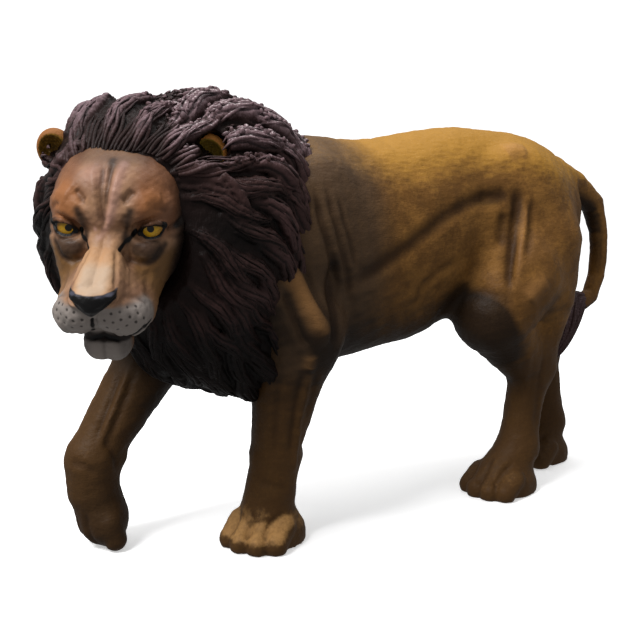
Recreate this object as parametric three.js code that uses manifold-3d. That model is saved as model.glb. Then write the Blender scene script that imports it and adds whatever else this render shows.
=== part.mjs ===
// A standing lion figurine, cast in separate pieces that are luted together.
// Millimetres, +Z up. The lion walks towards -X and turns its head to its left, which is -Y.
import * as THREE from 'three';
import { mergeVertices } from 'three/addons/utils/BufferGeometryUtils.js';
import { MeshoptSimplifier } from 'three/addons/libs/meshopt_simplifier.module.js';
import Module from 'manifold-3d';

const wasm = await Module();
wasm.setup();
await MeshoptSimplifier.ready;

// Fit between castings
const SLIP_GAP = 0.3;
const SEAM_BLEND = 8;

// Trunk
const WITHERS_HEIGHT = 165.5;
const LOIN_HEIGHT = 169.5;
const CROUP_HEIGHT = 167;
const CHEST_DEPTH = 92;
const LOIN_DEPTH = 84;
const RUMP_DEPTH = 67;
const CHEST_WIDTH = 64;
const LOIN_WIDTH = 57;
const RUMP_WIDTH = 53;
const SHOULDER_X = -50;
const TRUNK_LENGTH = 130;
const NECK_THICKNESS = 60;
const SHOULDER_BULGE = 16;
const HAUNCH_BULGE = 15;

// Legs: places along X of the joints and paws
const TRACK_WIDTH = 30;
const ELBOW_HEIGHT = 86;
const STIFLE_HEIGHT = 88;
const HOCK_HEIGHT = 58;
const WRIST_HEIGHT = 38;
const LEFT_FOREPAW_X = -61.5;
const RIGHT_FOREPAW_X = -121.7;
const LEFT_HINDPAW_X = 64.5;
const RIGHT_HINDPAW_X = 113;
const FOREARM_THICKNESS = 29;
const WRIST_THICKNESS = 20;
const THIGH_THICKNESS = 40;
const PASTERN_THICKNESS = 18;
const PAW_WIDTH = 28.5;
const PAW_HEIGHT = 17;
const TOE_WIDTH = 10.4;

// Head, in its own frame: forward, to the lion's left, and up, from a point between the eyes
const EYE_HEIGHT = 134.5;
const EYE_POINT_X = -132.8;
const EYE_POINT_Y = -40.4;
const HEAD_TURN = 57;
const HEAD_BOW = 16;
const HEAD_TILT = 2;
const EYE_SPACING = 28.8;
const EYE_DIAMETER = 10.8;
const SKULL_LENGTH = 54;
const SKULL_WIDTH = 47.6;
const SKULL_HEIGHT = 43;
const MUZZLE_LENGTH = 28;
const MUZZLE_WIDTH = 26;
const NOSE_WIDTH = 13.8;
const EAR_STANDOUT = 4.8;
const EAR_DIAMETER = 14;

// Mane
const MANE_WIDTH = 80;
const MANE_TOP = 182;
const MANE_BACK_X = -52;
const RUFF_DROP = 11.5;
const LOCK_WIDTH = 11.5;
const LOCK_LENGTH = 34;

// Tail
const TAIL_ROOT_X = 102;
const TAIL_REACH = 136.5;
const TAIL_THICKNESS = 8.6;
const TUFT_LENGTH = 40;
const TUFT_THICKNESS = 15;

// Luted joints
const TENON_DIAMETER = 14;
const TENON_LENGTH = 9;
const VENT_DIAMETER = 6;
const VENT_DEPTH = 10;

// Fineness of a surface: the side of the net's squares, and how far its facets may stray from it
const TRUNK_MESH = { facet: 5, stray: 0.7 };
const LEG_MESH = { facet: 3, stray: 0.45 };
const HEAD_MESH = { facet: 1.8, stray: 0.25 };
const MANE_MESH = { facet: 2.7, stray: 0.7 };
const TRIM_MESH = { facet: 1.6, stray: 0.3 };

const LEFT = -1;
const RIGHT = 1;
const FAR_AWAY = 1000;
const HAIR = 1e-3;
const BAND = 8;
const clamp = THREE.MathUtils.clamp;
const lerp = THREE.MathUtils.lerp;
const radians = THREE.MathUtils.degToRad;

// Clay: shapes are distance functions, added and carved in order, each blended over a width
function smoothMin(a, b, blend) {
  const h = clamp(0.5 + 0.5 * (b - a) / blend, 0, 1);
  return lerp(b, a, h) - blend * h * (1 - h);
}

function ball(centre, radii, tilt = 0) {
  const middle = new THREE.Vector3(...centre);
  const radius = new THREE.Vector3(...radii);
  const cos = Math.cos(radians(tilt));
  const sin = Math.sin(radians(tilt));
  const largest = Math.max(...radii);
  const reach = new THREE.Vector3(largest, radius.y, largest);
  const box = new THREE.Box3(middle.clone().sub(reach), middle.clone().add(reach));
  const distance = (p) => {
    const dx = p.x - middle.x;
    const dz = p.z - middle.z;
    const x = (dx * cos - dz * sin) / radius.x;
    const y = (p.y - middle.y) / radius.y;
    const z = (dx * sin + dz * cos) / radius.z;
    const length = Math.hypot(x, y, z);
    return length * (length - 1) / (Math.hypot(x / radius.x, y / radius.y, z / radius.z) + 1e-9);
  };
  return { box, distance };
}

function limb(points, radii) {
  const joints = points.map((point) => new THREE.Vector3(...point));
  const box = new THREE.Box3();
  joints.forEach((joint, i) => {
    box.expandByPoint(joint.clone().addScalar(radii[i]));
    box.expandByPoint(joint.clone().subScalar(radii[i]));
  });
  const bones = joints.slice(1).map((end, i) => {
    const along = end.clone().sub(joints[i]);
    return { start: joints[i], along, length2: along.lengthSq(), from: radii[i], to: radii[i + 1] };
  });
  const distance = (p) => {
    let nearest = FAR_AWAY;
    for (const { start, along, length2, from, to } of bones) {
      const x = p.x - start.x;
      const y = p.y - start.y;
      const z = p.z - start.z;
      const t = clamp((x * along.x + y * along.y + z * along.z) / length2, 0, 1);
      const off = Math.hypot(x - t * along.x, y - t * along.y, z - t * along.z);
      nearest = Math.min(nearest, off - lerp(from, to, t));
    }
    return nearest;
  };
  return { box, distance };
}

// A body lofted along X through oval rings, each { x, middle, halfWidth, halfHeight }
function loft(rings) {
  const curve = (key) => new THREE.CatmullRomCurve3(
    rings.map((ring) => new THREE.Vector3(ring.x, ring[key], 0)),
  );
  const curves = ['middle', 'halfWidth', 'halfHeight'].map(curve);
  const first = rings[0].x;
  const last = rings[rings.length - 1].x;
  const steps = 120;
  const tables = curves.map((line) => {
    const points = line.getPoints(steps * 4);
    let at = 0;
    return Array.from({ length: steps + 1 }, (_, i) => {
      const x = lerp(first, last, i / steps);
      while (at < points.length - 2 && points[at + 1].x < x) at += 1;
      const share = (x - points[at].x) / (points[at + 1].x - points[at].x);
      return lerp(points[at].y, points[at + 1].y, clamp(share, 0, 1));
    });
  });
  const tallest = Math.max(...rings.map((ring) => ring.middle + ring.halfHeight));
  const lowest = Math.min(...rings.map((ring) => ring.middle - ring.halfHeight));
  const widest = Math.max(...rings.map((ring) => ring.halfWidth));
  const box = new THREE.Box3(
    new THREE.Vector3(first, -widest, lowest),
    new THREE.Vector3(last, widest, tallest),
  );
  const distance = (p) => {
    const place = clamp((p.x - first) / (last - first), 0, 1) * steps;
    const i = Math.min(Math.floor(place), steps - 1);
    const [middle, halfWidth, halfHeight] = tables.map((table) => lerp(table[i], table[i + 1], place - i));
    const y = p.y / halfWidth;
    const z = (p.z - middle) / halfHeight;
    const length = Math.hypot(y, z);
    const side = length * (length - 1) / (Math.hypot(y / halfWidth, z / halfHeight) + 1e-9);
    const past = Math.max(first - p.x, p.x - last, 0);
    return past > 0 ? Math.hypot(Math.max(side, 0), past) : side;
  };
  return { box, distance };
}

class Clay {
  constructor(frame = new THREE.Matrix4()) {
    this.inverse = frame.clone().invert();
    this.steps = [];
  }

  // A paired shape is worked on both sides of the frame's middle plane at once
  add(shape, blend = 4, paired = false) {
    this.steps.push({ shape, blend, paired, carved: false });
    return this;
  }

  carve(shape, blend = 2, paired = false) {
    this.steps.push({ shape, blend, paired, carved: true });
    return this;
  }

  distance(point) {
    const here = point.clone().applyMatrix4(this.inverse);
    const folded = new THREE.Vector3(here.x, Math.abs(here.y), here.z);
    let nearest = FAR_AWAY;
    for (const { shape, blend, paired, carved } of this.steps) {
      const p = paired ? folded : here;
      if (shape.box && shape.box.distanceToPoint(p) > BAND + blend) continue;
      const d = shape.distance(p);
      nearest = carved ? -smoothMin(-nearest, d, blend) : smoothMin(nearest, d, blend);
    }
    return nearest;
  }
}

// Which way, and how steeply, a clay's distance grows at a point
function slope(clay, p, step) {
  const at = (x, y, z) => clay.distance(new THREE.Vector3(p.x + x, p.y + y, p.z + z));
  return new THREE.Vector3(
    at(step, 0, 0) - at(-step, 0, 0),
    at(0, step, 0) - at(0, -step, 0),
    at(0, 0, step) - at(0, 0, -step),
  ).divideScalar(2 * step);
}

// Fills the corners that would leave two sheets of surface meeting at a cell's face or middle
function closePinches(values, count, index) {
  const corners = [];
  for (let i = 0; i < 8; i += 1) corners.push([i & 1, (i >> 1) & 1, (i >> 2) & 1]);
  const faces = [[0, 1, 3, 2], [4, 5, 7, 6], [0, 1, 5, 4], [2, 3, 7, 6], [0, 2, 6, 4], [1, 3, 7, 5]];
  let changed = true;
  while (changed) {
    changed = false;
    for (let z = 0; z < count.z - 1; z += 1) {
      for (let y = 0; y < count.y - 1; y += 1) {
        for (let x = 0; x < count.x - 1; x += 1) {
          const at = corners.map(([i, j, k]) => index(x + i, y + j, z + k));
          const solid = at.map((i) => values[i] < 0);
          const total = solid.filter(Boolean).length;
          if (total === 0 || total === 8) continue;
          const pinched = faces.find(([a, b, c, d]) => (
            solid[a] === solid[c] && solid[b] === solid[d] && solid[a] !== solid[b]));
          const opposite = [0, 1, 2, 3].find((i) => (
            solid[i] === solid[7 - i] && (solid[i] ? total === 2 : total === 6)));
          if (pinched) {
            values[at[solid[pinched[0]] ? pinched[1] : pinched[0]]] = -HAIR;
            changed = true;
          } else if (opposite !== undefined) {
            const fill = total === 2 ? opposite ^ 1 : opposite;
            values[at[fill]] = -HAIR;
            changed = true;
          }
        }
      }
    }
  }
}

// Meshes the zero surface of a clay field with a net of squares about one facet wide
function surfaceNet(clay, box, { facet, stray }) {
  const size = box.getSize(new THREE.Vector3()).divideScalar(facet).ceil().addScalar(1);
  const index = (x, y, z) => x + size.x * (y + size.y * z);
  const values = new Float64Array(size.x * size.y * size.z);
  const corner = (x, y, z) => new THREE.Vector3(x, y, z).multiplyScalar(facet).add(box.min);
  for (let z = 0; z < size.z; z += 1) {
    for (let y = 0; y < size.y; y += 1) {
      for (let x = 0; x < size.x; x += 1) {
        const rows = [[x, size.x], [y, size.y], [z, size.z]];
        const onEdge = rows.some(([i, number]) => i === 0 || i === number - 1);
        const value = clay.distance(corner(x, y, z));
        values[index(x, y, z)] = onEdge ? Math.max(value, HAIR) : value;
      }
    }
  }
  closePinches(values, size, index);

  const vertexOf = new Map();
  const positions = [];
  const vertex = (x, y, z) => {
    const key = index(x, y, z);
    if (vertexOf.has(key)) return vertexOf.get(key);
    const sum = new THREE.Vector3();
    let crossings = 0;
    for (let axis = 0; axis < 3; axis += 1) {
      for (let i = 0; i < 4; i += 1) {
        const start = [0, 0, 0];
        start[(axis + 1) % 3] = i & 1;
        start[(axis + 2) % 3] = i >> 1;
        const end = [...start];
        end[axis] = 1;
        const a = values[index(x + start[0], y + start[1], z + start[2])];
        const b = values[index(x + end[0], y + end[1], z + end[2])];
        if ((a < 0) === (b < 0)) continue;
        start[axis] = a / (a - b);
        sum.add(new THREE.Vector3(...start));
        crossings += 1;
      }
    }
    const point = sum.divideScalar(crossings).add(new THREE.Vector3(x, y, z));
    point.multiplyScalar(facet).add(box.min);
    const longest = facet * 0.3;
    for (let step = 0; step < 3; step += 1) {
      const uphill = slope(clay, point, facet * 0.2);
      const shift = -clay.distance(point) / Math.max(uphill.lengthSq(), 0.05);
      point.addScaledVector(uphill, clamp(shift, -longest, longest));
    }
    vertexOf.set(key, positions.length / 3);
    positions.push(...point.toArray());
    return vertexOf.get(key);
  };

  const triangles = [];
  const place = (i) => new THREE.Vector3(...positions.slice(3 * i, 3 * i + 3));
  for (let z = 0; z < size.z; z += 1) {
    for (let y = 0; y < size.y; y += 1) {
      for (let x = 0; x < size.x; x += 1) {
        for (let axis = 0; axis < 3; axis += 1) {
          const step = [0, 0, 0];
          step[axis] = 1;
          if (x + step[0] >= size.x || y + step[1] >= size.y || z + step[2] >= size.z) continue;
          if ([x, y, z].some((place, i) => place === 0 && i !== axis)) continue;
          const inside = values[index(x, y, z)] < 0;
          if (inside === values[index(x + step[0], y + step[1], z + step[2])] < 0) continue;
          const u = [0, 0, 0];
          const v = [0, 0, 0];
          u[(axis + 1) % 3] = 1;
          v[(axis + 2) % 3] = 1;
          const cell = (i, j) => vertex(...[x, y, z].map((start, k) => start - i * u[k] - j * v[k]));
          const quad = [cell(1, 1), cell(0, 1), cell(0, 0), cell(1, 0)];
          if (!inside) quad.reverse();
          const [a, b, c, d] = quad;
          const acrossFirst = place(a).distanceTo(place(c)) <= place(b).distanceTo(place(d));
          triangles.push(...(acrossFirst ? [a, b, c, a, c, d] : [a, b, d, b, c, d]));
        }
      }
    }
  }
  const corners = new Float32Array(positions);
  const fewest = 60;
  const [kept] = MeshoptSimplifier.simplify(
    new Uint32Array(triangles), corners, 3, fewest, stray, ['ErrorAbsolute'],
  );
  const geometry = new THREE.BufferGeometry();
  geometry.setAttribute('position', new THREE.BufferAttribute(corners, 3));
  geometry.setIndex(new THREE.BufferAttribute(kept, 1));
  return mergeVertices(geometry.toNonIndexed(), 1e-5);
}

// Solids: closed meshes that manifold-3d cuts and joins
function solidOf(geometry) {
  const plain = geometry.clone();
  plain.deleteAttribute('normal');
  plain.deleteAttribute('uv');
  const merged = mergeVertices(plain, 1e-4);
  const mesh = new wasm.Mesh({
    numProp: 3,
    vertProperties: new Float32Array(merged.attributes.position.array),
    triVerts: new Uint32Array(merged.index.array),
  });
  return new wasm.Manifold(mesh);
}

function boxOf(minimum, maximum) {
  return new THREE.Box3(new THREE.Vector3(...minimum), new THREE.Vector3(...maximum));
}

function block(minimum, maximum, frame = new THREE.Matrix4()) {
  const box = boxOf(minimum, maximum);
  const size = box.getSize(new THREE.Vector3());
  const geometry = new THREE.BoxGeometry(size.x, size.y, size.z);
  const middle = box.getCenter(new THREE.Vector3());
  return solidOf(geometry.translate(middle.x, middle.y, middle.z).applyMatrix4(frame));
}

// An oval tenon from a point along a direction, a little narrower at its tip
function tenon(start, direction, clearance, diameter = TENON_DIAMETER, length = TENON_LENGTH) {
  const radius = diameter / 2 + clearance;
  const rooted = 1;
  const reach = length + clearance;
  const geometry = new THREE.CylinderGeometry(radius * 0.9, radius, reach + rooted, 20);
  geometry.translate(0, (reach - rooted) / 2, 0).scale(1.25, 1, 1);
  const upright = new THREE.Vector3(0, 1, 0);
  const turn = new THREE.Quaternion().setFromUnitVectors(upright, direction.clone().normalize());
  return solidOf(geometry.applyQuaternion(turn).translate(start.x, start.y, start.z));
}

// Trunk, neck, shoulders and haunches
const HIP_X = SHOULDER_X + TRUNK_LENGTH;
const trunkX = (share) => SHOULDER_X + share * TRUNK_LENGTH;

function ring(share, top, depth, width) {
  return { x: trunkX(share), middle: top - depth / 2, halfWidth: width / 2, halfHeight: depth / 2 };
}

function addTrunk(clay) {
  clay.add(loft([
    ring(-0.17, WITHERS_HEIGHT - 24, 0.48 * CHEST_DEPTH, 0.44 * CHEST_WIDTH),
    ring(-0.08, WITHERS_HEIGHT - 9, 0.82 * CHEST_DEPTH, 0.78 * CHEST_WIDTH),
    ring(0.04, WITHERS_HEIGHT - 4, 0.98 * CHEST_DEPTH, 0.95 * CHEST_WIDTH),
    ring(0.19, WITHERS_HEIGHT - 1.6, 1.01 * CHEST_DEPTH, 1.01 * CHEST_WIDTH),
    ring(0.385, WITHERS_HEIGHT, 0.99 * CHEST_DEPTH, CHEST_WIDTH),
    ring(0.54, LOIN_HEIGHT - 1, 1.08 * LOIN_DEPTH, 1.08 * LOIN_WIDTH),
    ring(0.68, LOIN_HEIGHT + 1, LOIN_DEPTH, LOIN_WIDTH),
    ring(0.83, LOIN_HEIGHT, 1.13 * RUMP_DEPTH, 1.02 * RUMP_WIDTH),
    ring(1.0, CROUP_HEIGHT, RUMP_DEPTH, RUMP_WIDTH),
    ring(1.12, CROUP_HEIGHT - 6, 0.84 * RUMP_DEPTH, 0.8 * RUMP_WIDTH),
    ring(1.23, CROUP_HEIGHT - 17, 0.6 * RUMP_DEPTH, 0.53 * RUMP_WIDTH),
  ]));
  const neckTop = WITHERS_HEIGHT - 35;
  const poll = headPoint(-40, 0, 5);
  clay.add(limb(
    [[SHOULDER_X + 10, 0, neckTop], [SHOULDER_X - 35, -4, neckTop], poll.toArray()],
    [0.56 * NECK_THICKNESS, 0.52 * NECK_THICKNESS, 0.43 * NECK_THICKNESS],
  ), 12);
  for (const side of [LEFT, RIGHT]) {
    const shoulderY = side * (CHEST_WIDTH / 2 - 8.5);
    clay.add(ball([SHOULDER_X, shoulderY, WITHERS_HEIGHT - 41], [SHOULDER_BULGE, 11, 34], 22), 10);
    const armY = shoulderY * 1.06;
    clay.add(limb(
      [[SHOULDER_X - 14, armY, ELBOW_HEIGHT + 20], [SHOULDER_X + 6, armY, ELBOW_HEIGHT]],
      [14, 12],
    ), SEAM_BLEND);
    const haunchX = HIP_X + (side === LEFT ? -11 : 2);
    const lean = side === LEFT ? -12 : 6;
    const haunchY = side * (RUMP_WIDTH / 2 - 9);
    clay.add(ball([haunchX, haunchY, CROUP_HEIGHT - 45], [28.5, HAUNCH_BULGE, 38], lean), 10);
  }
}

// Legs
const TOE_BLEND = 1.6;

// Four toes side by side, at the front of a paw that may be turned to its side
function addStandingPaw(clay, x, y, length, turn) {
  const pad = ball([x + 1, y, PAW_HEIGHT * 0.16], [length / 2, PAW_WIDTH / 2, PAW_HEIGHT * 0.84]);
  clay.add(pad, 4);
  const radius = TOE_WIDTH / 2;
  const spread = PAW_WIDTH * 0.13;
  const onPaw = (forward, across, z) => [
    x - forward * Math.cos(turn) - across * Math.sin(turn),
    y - forward * Math.sin(turn) + across * Math.cos(turn),
    z,
  ];
  for (const [back, across] of [[3.2, -2.7], [0, -1], [0, 1], [3.2, 2.7]]) {
    const forward = length / 2 - 3 - back;
    const toe = [
      onPaw(forward, across * spread, 3.4),
      onPaw(forward - 7.5, across * spread, PAW_HEIGHT / 2),
    ];
    clay.add(limb(toe, [radius, radius * 0.95]), TOE_BLEND);
  }
}

function addForearm(clay, shoulder, elbow, wrist) {
  const mid = elbow.clone().lerp(wrist, 0.42);
  const thick = FOREARM_THICKNESS / 2;
  const thin = WRIST_THICKNESS / 2;
  clay.add(limb(
    [shoulder.toArray(), elbow.toArray(), mid.toArray(), wrist.toArray()],
    [thick * 1.15, thick * 1.08, thick * 0.9, thin],
  ), SEAM_BLEND - 2);
}

function addForelegs(clay) {
  const track = TRACK_WIDTH / 2;
  const shoulderY = CHEST_WIDTH / 2 - 9;
  const leftY = LEFT * track;
  addForearm(
    clay,
    new THREE.Vector3(SHOULDER_X, LEFT * shoulderY, ELBOW_HEIGHT + 6),
    new THREE.Vector3(SHOULDER_X - 2.4, LEFT * (shoulderY - 2), ELBOW_HEIGHT - 10),
    new THREE.Vector3(LEFT_FOREPAW_X + 5, leftY, WRIST_HEIGHT),
  );
  clay.add(limb(
    [[LEFT_FOREPAW_X + 5, leftY, WRIST_HEIGHT - 4], [LEFT_FOREPAW_X + 1, leftY, PAW_HEIGHT * 0.8]],
    [WRIST_THICKNESS / 2, WRIST_THICKNESS / 2 + 1],
  ), 4);
  addStandingPaw(clay, LEFT_FOREPAW_X, leftY, 33, radians(36));

  const rightY = RIGHT * track;
  addForearm(
    clay,
    new THREE.Vector3(SHOULDER_X - 24, RIGHT * shoulderY, ELBOW_HEIGHT + 14),
    new THREE.Vector3(SHOULDER_X - 38, RIGHT * (shoulderY - 1), ELBOW_HEIGHT),
    new THREE.Vector3(RIGHT_FOREPAW_X - 2, rightY, WRIST_HEIGHT + 1),
  );
  clay.add(limb(
    [[RIGHT_FOREPAW_X - 3, rightY, WRIST_HEIGHT - 3], [RIGHT_FOREPAW_X - 2.5, rightY, 24],
      [RIGHT_FOREPAW_X + 1, rightY, 12]],
    [WRIST_THICKNESS / 2 + 0.6, WRIST_THICKNESS / 2 + 0.6, WRIST_THICKNESS / 2],
  ), 5);
  clay.add(ball([RIGHT_FOREPAW_X + 0.5, rightY, 11], [9, PAW_WIDTH * 0.47, 10]), 4);
  for (const across of [-2.5, -0.85, 0.85, 2.5]) {
    const toeY = rightY + across * PAW_WIDTH * 0.13;
    const toeX = RIGHT_FOREPAW_X + 1.5 + Math.abs(across) * 0.6;
    const toe = [[toeX - 2.4, toeY, 12], [toeX, toeY, TOE_WIDTH * 0.43]];
    clay.add(limb(toe, [TOE_WIDTH * 0.45, TOE_WIDTH * 0.43]), TOE_BLEND);
  }
}

function addHindleg(clay, side, hip, stifleX, hockX, pawX, lean) {
  const y = side * TRACK_WIDTH / 2;
  const thighY = side * (RUMP_WIDTH / 2 - 4.5);
  const thigh = THIGH_THICKNESS / 2;
  const thin = PASTERN_THICKNESS / 2;
  const gaskinX = lerp(stifleX, hockX, 0.45);
  const gaskinHeight = lerp(STIFLE_HEIGHT, HOCK_HEIGHT, 0.5);
  clay.add(limb(
    [[hip, thighY, STIFLE_HEIGHT + 17], [stifleX, thighY, STIFLE_HEIGHT],
      [gaskinX, y * 1.3, gaskinHeight], [hockX, y * 1.15, HOCK_HEIGHT]],
    [thigh * 1.1, thigh * 0.94, thigh * 0.68, thin * 1.15],
  ), SEAM_BLEND);
  const hamY = thighY * 0.9;
  const hamX = lerp(HIP_X + 4, hockX + 2, 0.3);
  clay.add(limb(
    [[HIP_X + 1, hamY, STIFLE_HEIGHT + 30], [hamX, hamY, STIFLE_HEIGHT + 6],
      [hockX + 3, y * 1.15, HOCK_HEIGHT + 6]],
    [17, 14, 8.5],
  ), SEAM_BLEND);
  clay.add(limb(
    [[hockX, y * 1.1, HOCK_HEIGHT - 1], [lerp(hockX, pawX + lean, 0.5), y, 38], [pawX + lean, y, 20]],
    [thin * 1.06, thin * 0.98, thin * 1.04],
  ), 4);
  clay.add(limb([[pawX + lean, y, 20], [pawX, y, 10]], [thin * 1.06, thin * 1.1]), 4);
  addStandingPaw(clay, pawX, y, 34, radians(14));
}

function addHindlegs(clay) {
  addHindleg(clay, LEFT, HIP_X - 18, LEFT_HINDPAW_X - 13.5, LEFT_HINDPAW_X + 14, LEFT_HINDPAW_X, 9.4);
  addHindleg(clay, RIGHT, HIP_X + 4, RIGHT_HINDPAW_X - 31, RIGHT_HINDPAW_X + 1, RIGHT_HINDPAW_X, 6);
}

// Tail: leaves the croup, arches out and hangs to the tuft
const TAIL_ROOT_HEIGHT = CROUP_HEIGHT - 20;
const TUFT_HEIGHT = HOCK_HEIGHT + 27;

function addTail(clay, joints) {
  const thin = TAIL_THICKNESS / 2;
  const drop = (share) => lerp(TAIL_ROOT_HEIGHT, TUFT_HEIGHT, share);
  const path = [
    [TAIL_ROOT_X, 0, drop(0)],
    [TAIL_ROOT_X + 14, 0, drop(0.06)],
    [TAIL_REACH - 6, 0, drop(0.21)],
    [TAIL_REACH - 1, 0, drop(0.43)],
    [TAIL_REACH, 0, drop(0.62)],
    [TAIL_REACH - 1, 0, drop(0.8)],
    [TAIL_REACH - 7, -2, drop(0.96)],
    [TAIL_REACH - 15, -4, drop(1)],
  ];
  const radii = [2.4, 1.8, 1.3, 1.08, 1, 0.97, 0.95, 0.93].map((share) => share * thin);
  clay.add(limb(path.slice(0, joints), radii.slice(0, joints)), 5);
}

function tuftClay() {
  const thick = TUFT_THICKNESS / 2;
  const x = (share) => TAIL_REACH - 16 - share * TUFT_LENGTH * 0.75;
  const y = (share) => -3 - share * TUFT_LENGTH * 0.17;
  const z = (share) => TUFT_HEIGHT + 1 - share * TUFT_LENGTH * 0.7;
  return new Clay().add(limb(
    [0, 0.3, 0.6, 0.88, 1].map((share) => [x(share), y(share), z(share)]),
    [thick * 0.66, thick * 0.86, thick * 0.94, thick * 0.66, thick * 0.25],
  ), 3);
}

// Head
const headFrame = new THREE.Matrix4().makeTranslation(EYE_POINT_X, EYE_POINT_Y, EYE_HEIGHT)
  .multiply(new THREE.Matrix4().makeRotationZ(radians(180 + HEAD_TURN)))
  .multiply(new THREE.Matrix4().makeRotationY(radians(HEAD_BOW)))
  .multiply(new THREE.Matrix4().makeRotationX(radians(-HEAD_TILT)));

function headPoint(forward, left, up) {
  return new THREE.Vector3(forward, left, up).applyMatrix4(headFrame);
}

const EYE_BACK = -6.4;
const EYE_DROP = -1.3;

// A point over the left eyeball, in a direction from its middle
function overEye(direction, away) {
  const radius = EYE_DIAMETER / 2 + away;
  const offset = new THREE.Vector3(...direction).setLength(radius);
  return [EYE_BACK + offset.x, EYE_SPACING / 2 + offset.y, EYE_DROP + offset.z];
}

function addSkull(clay) {
  const half = SKULL_WIDTH / 2;
  const eyeY = EYE_SPACING / 2;
  clay.add(ball([2 - SKULL_LENGTH / 2, 0, 2], [SKULL_LENGTH / 2, half, SKULL_HEIGHT / 2]));
  clay.add(ball([-13, 0, 3.5], [11, SKULL_WIDTH / 3, 13]), 8);
  clay.add(limb([[-18, 7.5, 9], [-9.5, 7.5, 7.5]], [9, 8]), 6, true);
  // Cheek, cheekbone and brow
  clay.add(ball([-14, half - 11.8, -9], [14, 9.2, 13]), 6, true);
  clay.add(limb(
    [[-15, half - 11.8, -13], [-6, half - 13.4, -18], [2, half - 15.2, -23]],
    [9.2, 8.6, 8],
  ), 6, true);
  clay.add(limb(
    [[-3.5, eyeY - 1.4, -8.5], [-10, half - 6.8, -7.5], [-20, half - 4.4, -3]],
    [4.4, 4.8, 4.8],
  ), 5, true);
  clay.add(limb(
    [[-1.2, 7, 3.6], [-2.8, eyeY - 1.8, 5.6], [-9.5, half - 6.2, 4.8]],
    [3.2, 3.6, 3.4],
  ), 4, true);
}

function addEyelids(clay) {
  clay.carve(ball([-0.6, EYE_SPACING / 2 - 0.4, -0.8], [5.2, 6, 3.8]), 2.5, true);
  const rim = EYE_DIAMETER / 2 + 0.9;
  clay.add(ball(overEye([1, 0, 0], -EYE_DIAMETER / 2), [rim, rim, rim]), 1.6, true);
  const inner = overEye([0.84, -0.62, -0.16], 0.4);
  const outer = overEye([0.5, 0.86, 0.28], 0.4);
  const upper = [
    overEye([0.9, -0.25, 0.26], 0.7),
    overEye([0.86, 0.15, 0.42], 0.9),
    overEye([0.72, 0.55, 0.42], 0.8),
  ];
  const lower = [
    overEye([0.92, -0.25, -0.4], 0.4),
    overEye([0.9, 0.15, -0.44], 0.5),
    overEye([0.74, 0.55, -0.26], 0.5),
  ];
  clay.add(limb([inner, ...upper, outer], [0.7, 1.1, 1.2, 1.1, 0.6]), 1, true);
  clay.add(limb([inner, ...lower, outer], [0.6, 0.8, 0.8, 0.8, 0.5]), 1, true);
  const slit = [
    overEye([0.88, -0.5, -0.14], 1.2),
    overEye([0.95, -0.1, -0.06], 1.5),
    overEye([0.86, 0.34, 0.02], 1.5),
    overEye([0.64, 0.74, 0.14], 1),
  ];
  clay.carve(limb(slit, [1.2, 2.8, 2.8, 1.2]), 0.5, true);
}

function addMuzzle(clay) {
  const side = MUZZLE_WIDTH / 2;
  const tip = MUZZLE_LENGTH;
  clay.add(limb([[-5, 2, -0.2], [4.2, 2, -8.2], [tip - 7.7, 3.4, -15.6]], [4.6, 4.3, 4.8]), 2, true);
  clay.add(ball([7, 0, -21], [16, side * 0.97, 10.5]), 5);
  // Whisker pads, which run back to the corners of the mouth
  clay.add(limb(
    [[tip - 9.8, side * 0.45, -23], [tip - 14, side * 0.68, -25.4], [tip - 22, side * 0.77, -26.4]],
    [6.6, 7.7, 7],
  ), 3, true);
  clay.add(limb([[-22, 0, -24], [-2, 0, -31], [6, 0, -36]], [13, 9.4, 7.4]), 5);
  clay.add(ball([tip - 19.6, 2.4, -39.4], [6.6, 6, 5.8]), 3, true);
  const mouth = [
    [tip - 1.6, 0, -26.2],
    [tip - 5, side * 0.31, -29.4],
    [tip - 9.5, side * 0.63, -32.6],
    [tip - 16, side * 0.94, -34.2],
    [tip - 23.5, side * 1.11, -33],
  ];
  clay.carve(limb(mouth, [1.1, 1.2, 1.2, 1.1, 0.8]), 1.2, true);
}

function addNose(clay) {
  const half = NOSE_WIDTH / 2;
  const tip = MUZZLE_LENGTH;
  clay.add(ball([tip - 3.8, 0, -15.8], [4.4, half, 3.9]), 1);
  clay.add(limb([[tip - 4.4, half - 1.3, -16.2], [tip - 6.6, half - 0.3, -16.6]], [2.6, 2.2]), 1, true);
  clay.add(limb([[tip - 2.2, 0, -17.5], [tip - 3.2, 0, -21]], [3.2, 1.6]), 1.4);
  const nostril = [
    [tip + 1.4, half - 4.7, -18],
    [tip - 0.4, half - 2.1, -17.4],
    [tip - 3.8, half + 0.5, -15.8],
  ];
  clay.carve(limb(nostril, [0.8, 1.2, 0.9]), 0.7, true);
  clay.carve(limb([[tip - 1, 0, -20.6], [tip - 1.4, 0, -23], [tip - 2, 0, -26]], [0.7, 0.8, 1]), 0.9);
}

function headClay() {
  const clay = new Clay(headFrame);
  addSkull(clay);
  addMuzzle(clay);
  addEyelids(clay);
  addNose(clay);
  return clay;
}

function eyeClay() {
  const radius = EYE_DIAMETER / 2;
  const globe = ball([EYE_BACK, EYE_SPACING / 2, EYE_DROP], [radius, radius, radius]);
  return new Clay(headFrame).add(globe, 1, true);
}

// Ears: small rounded cups that stand out at the sides of the skull
const EAR_Y = SKULL_WIDTH / 2 + EAR_STANDOUT;
const EAR_BACK = -42.5;
const EAR_RISE = 14.2;

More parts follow.
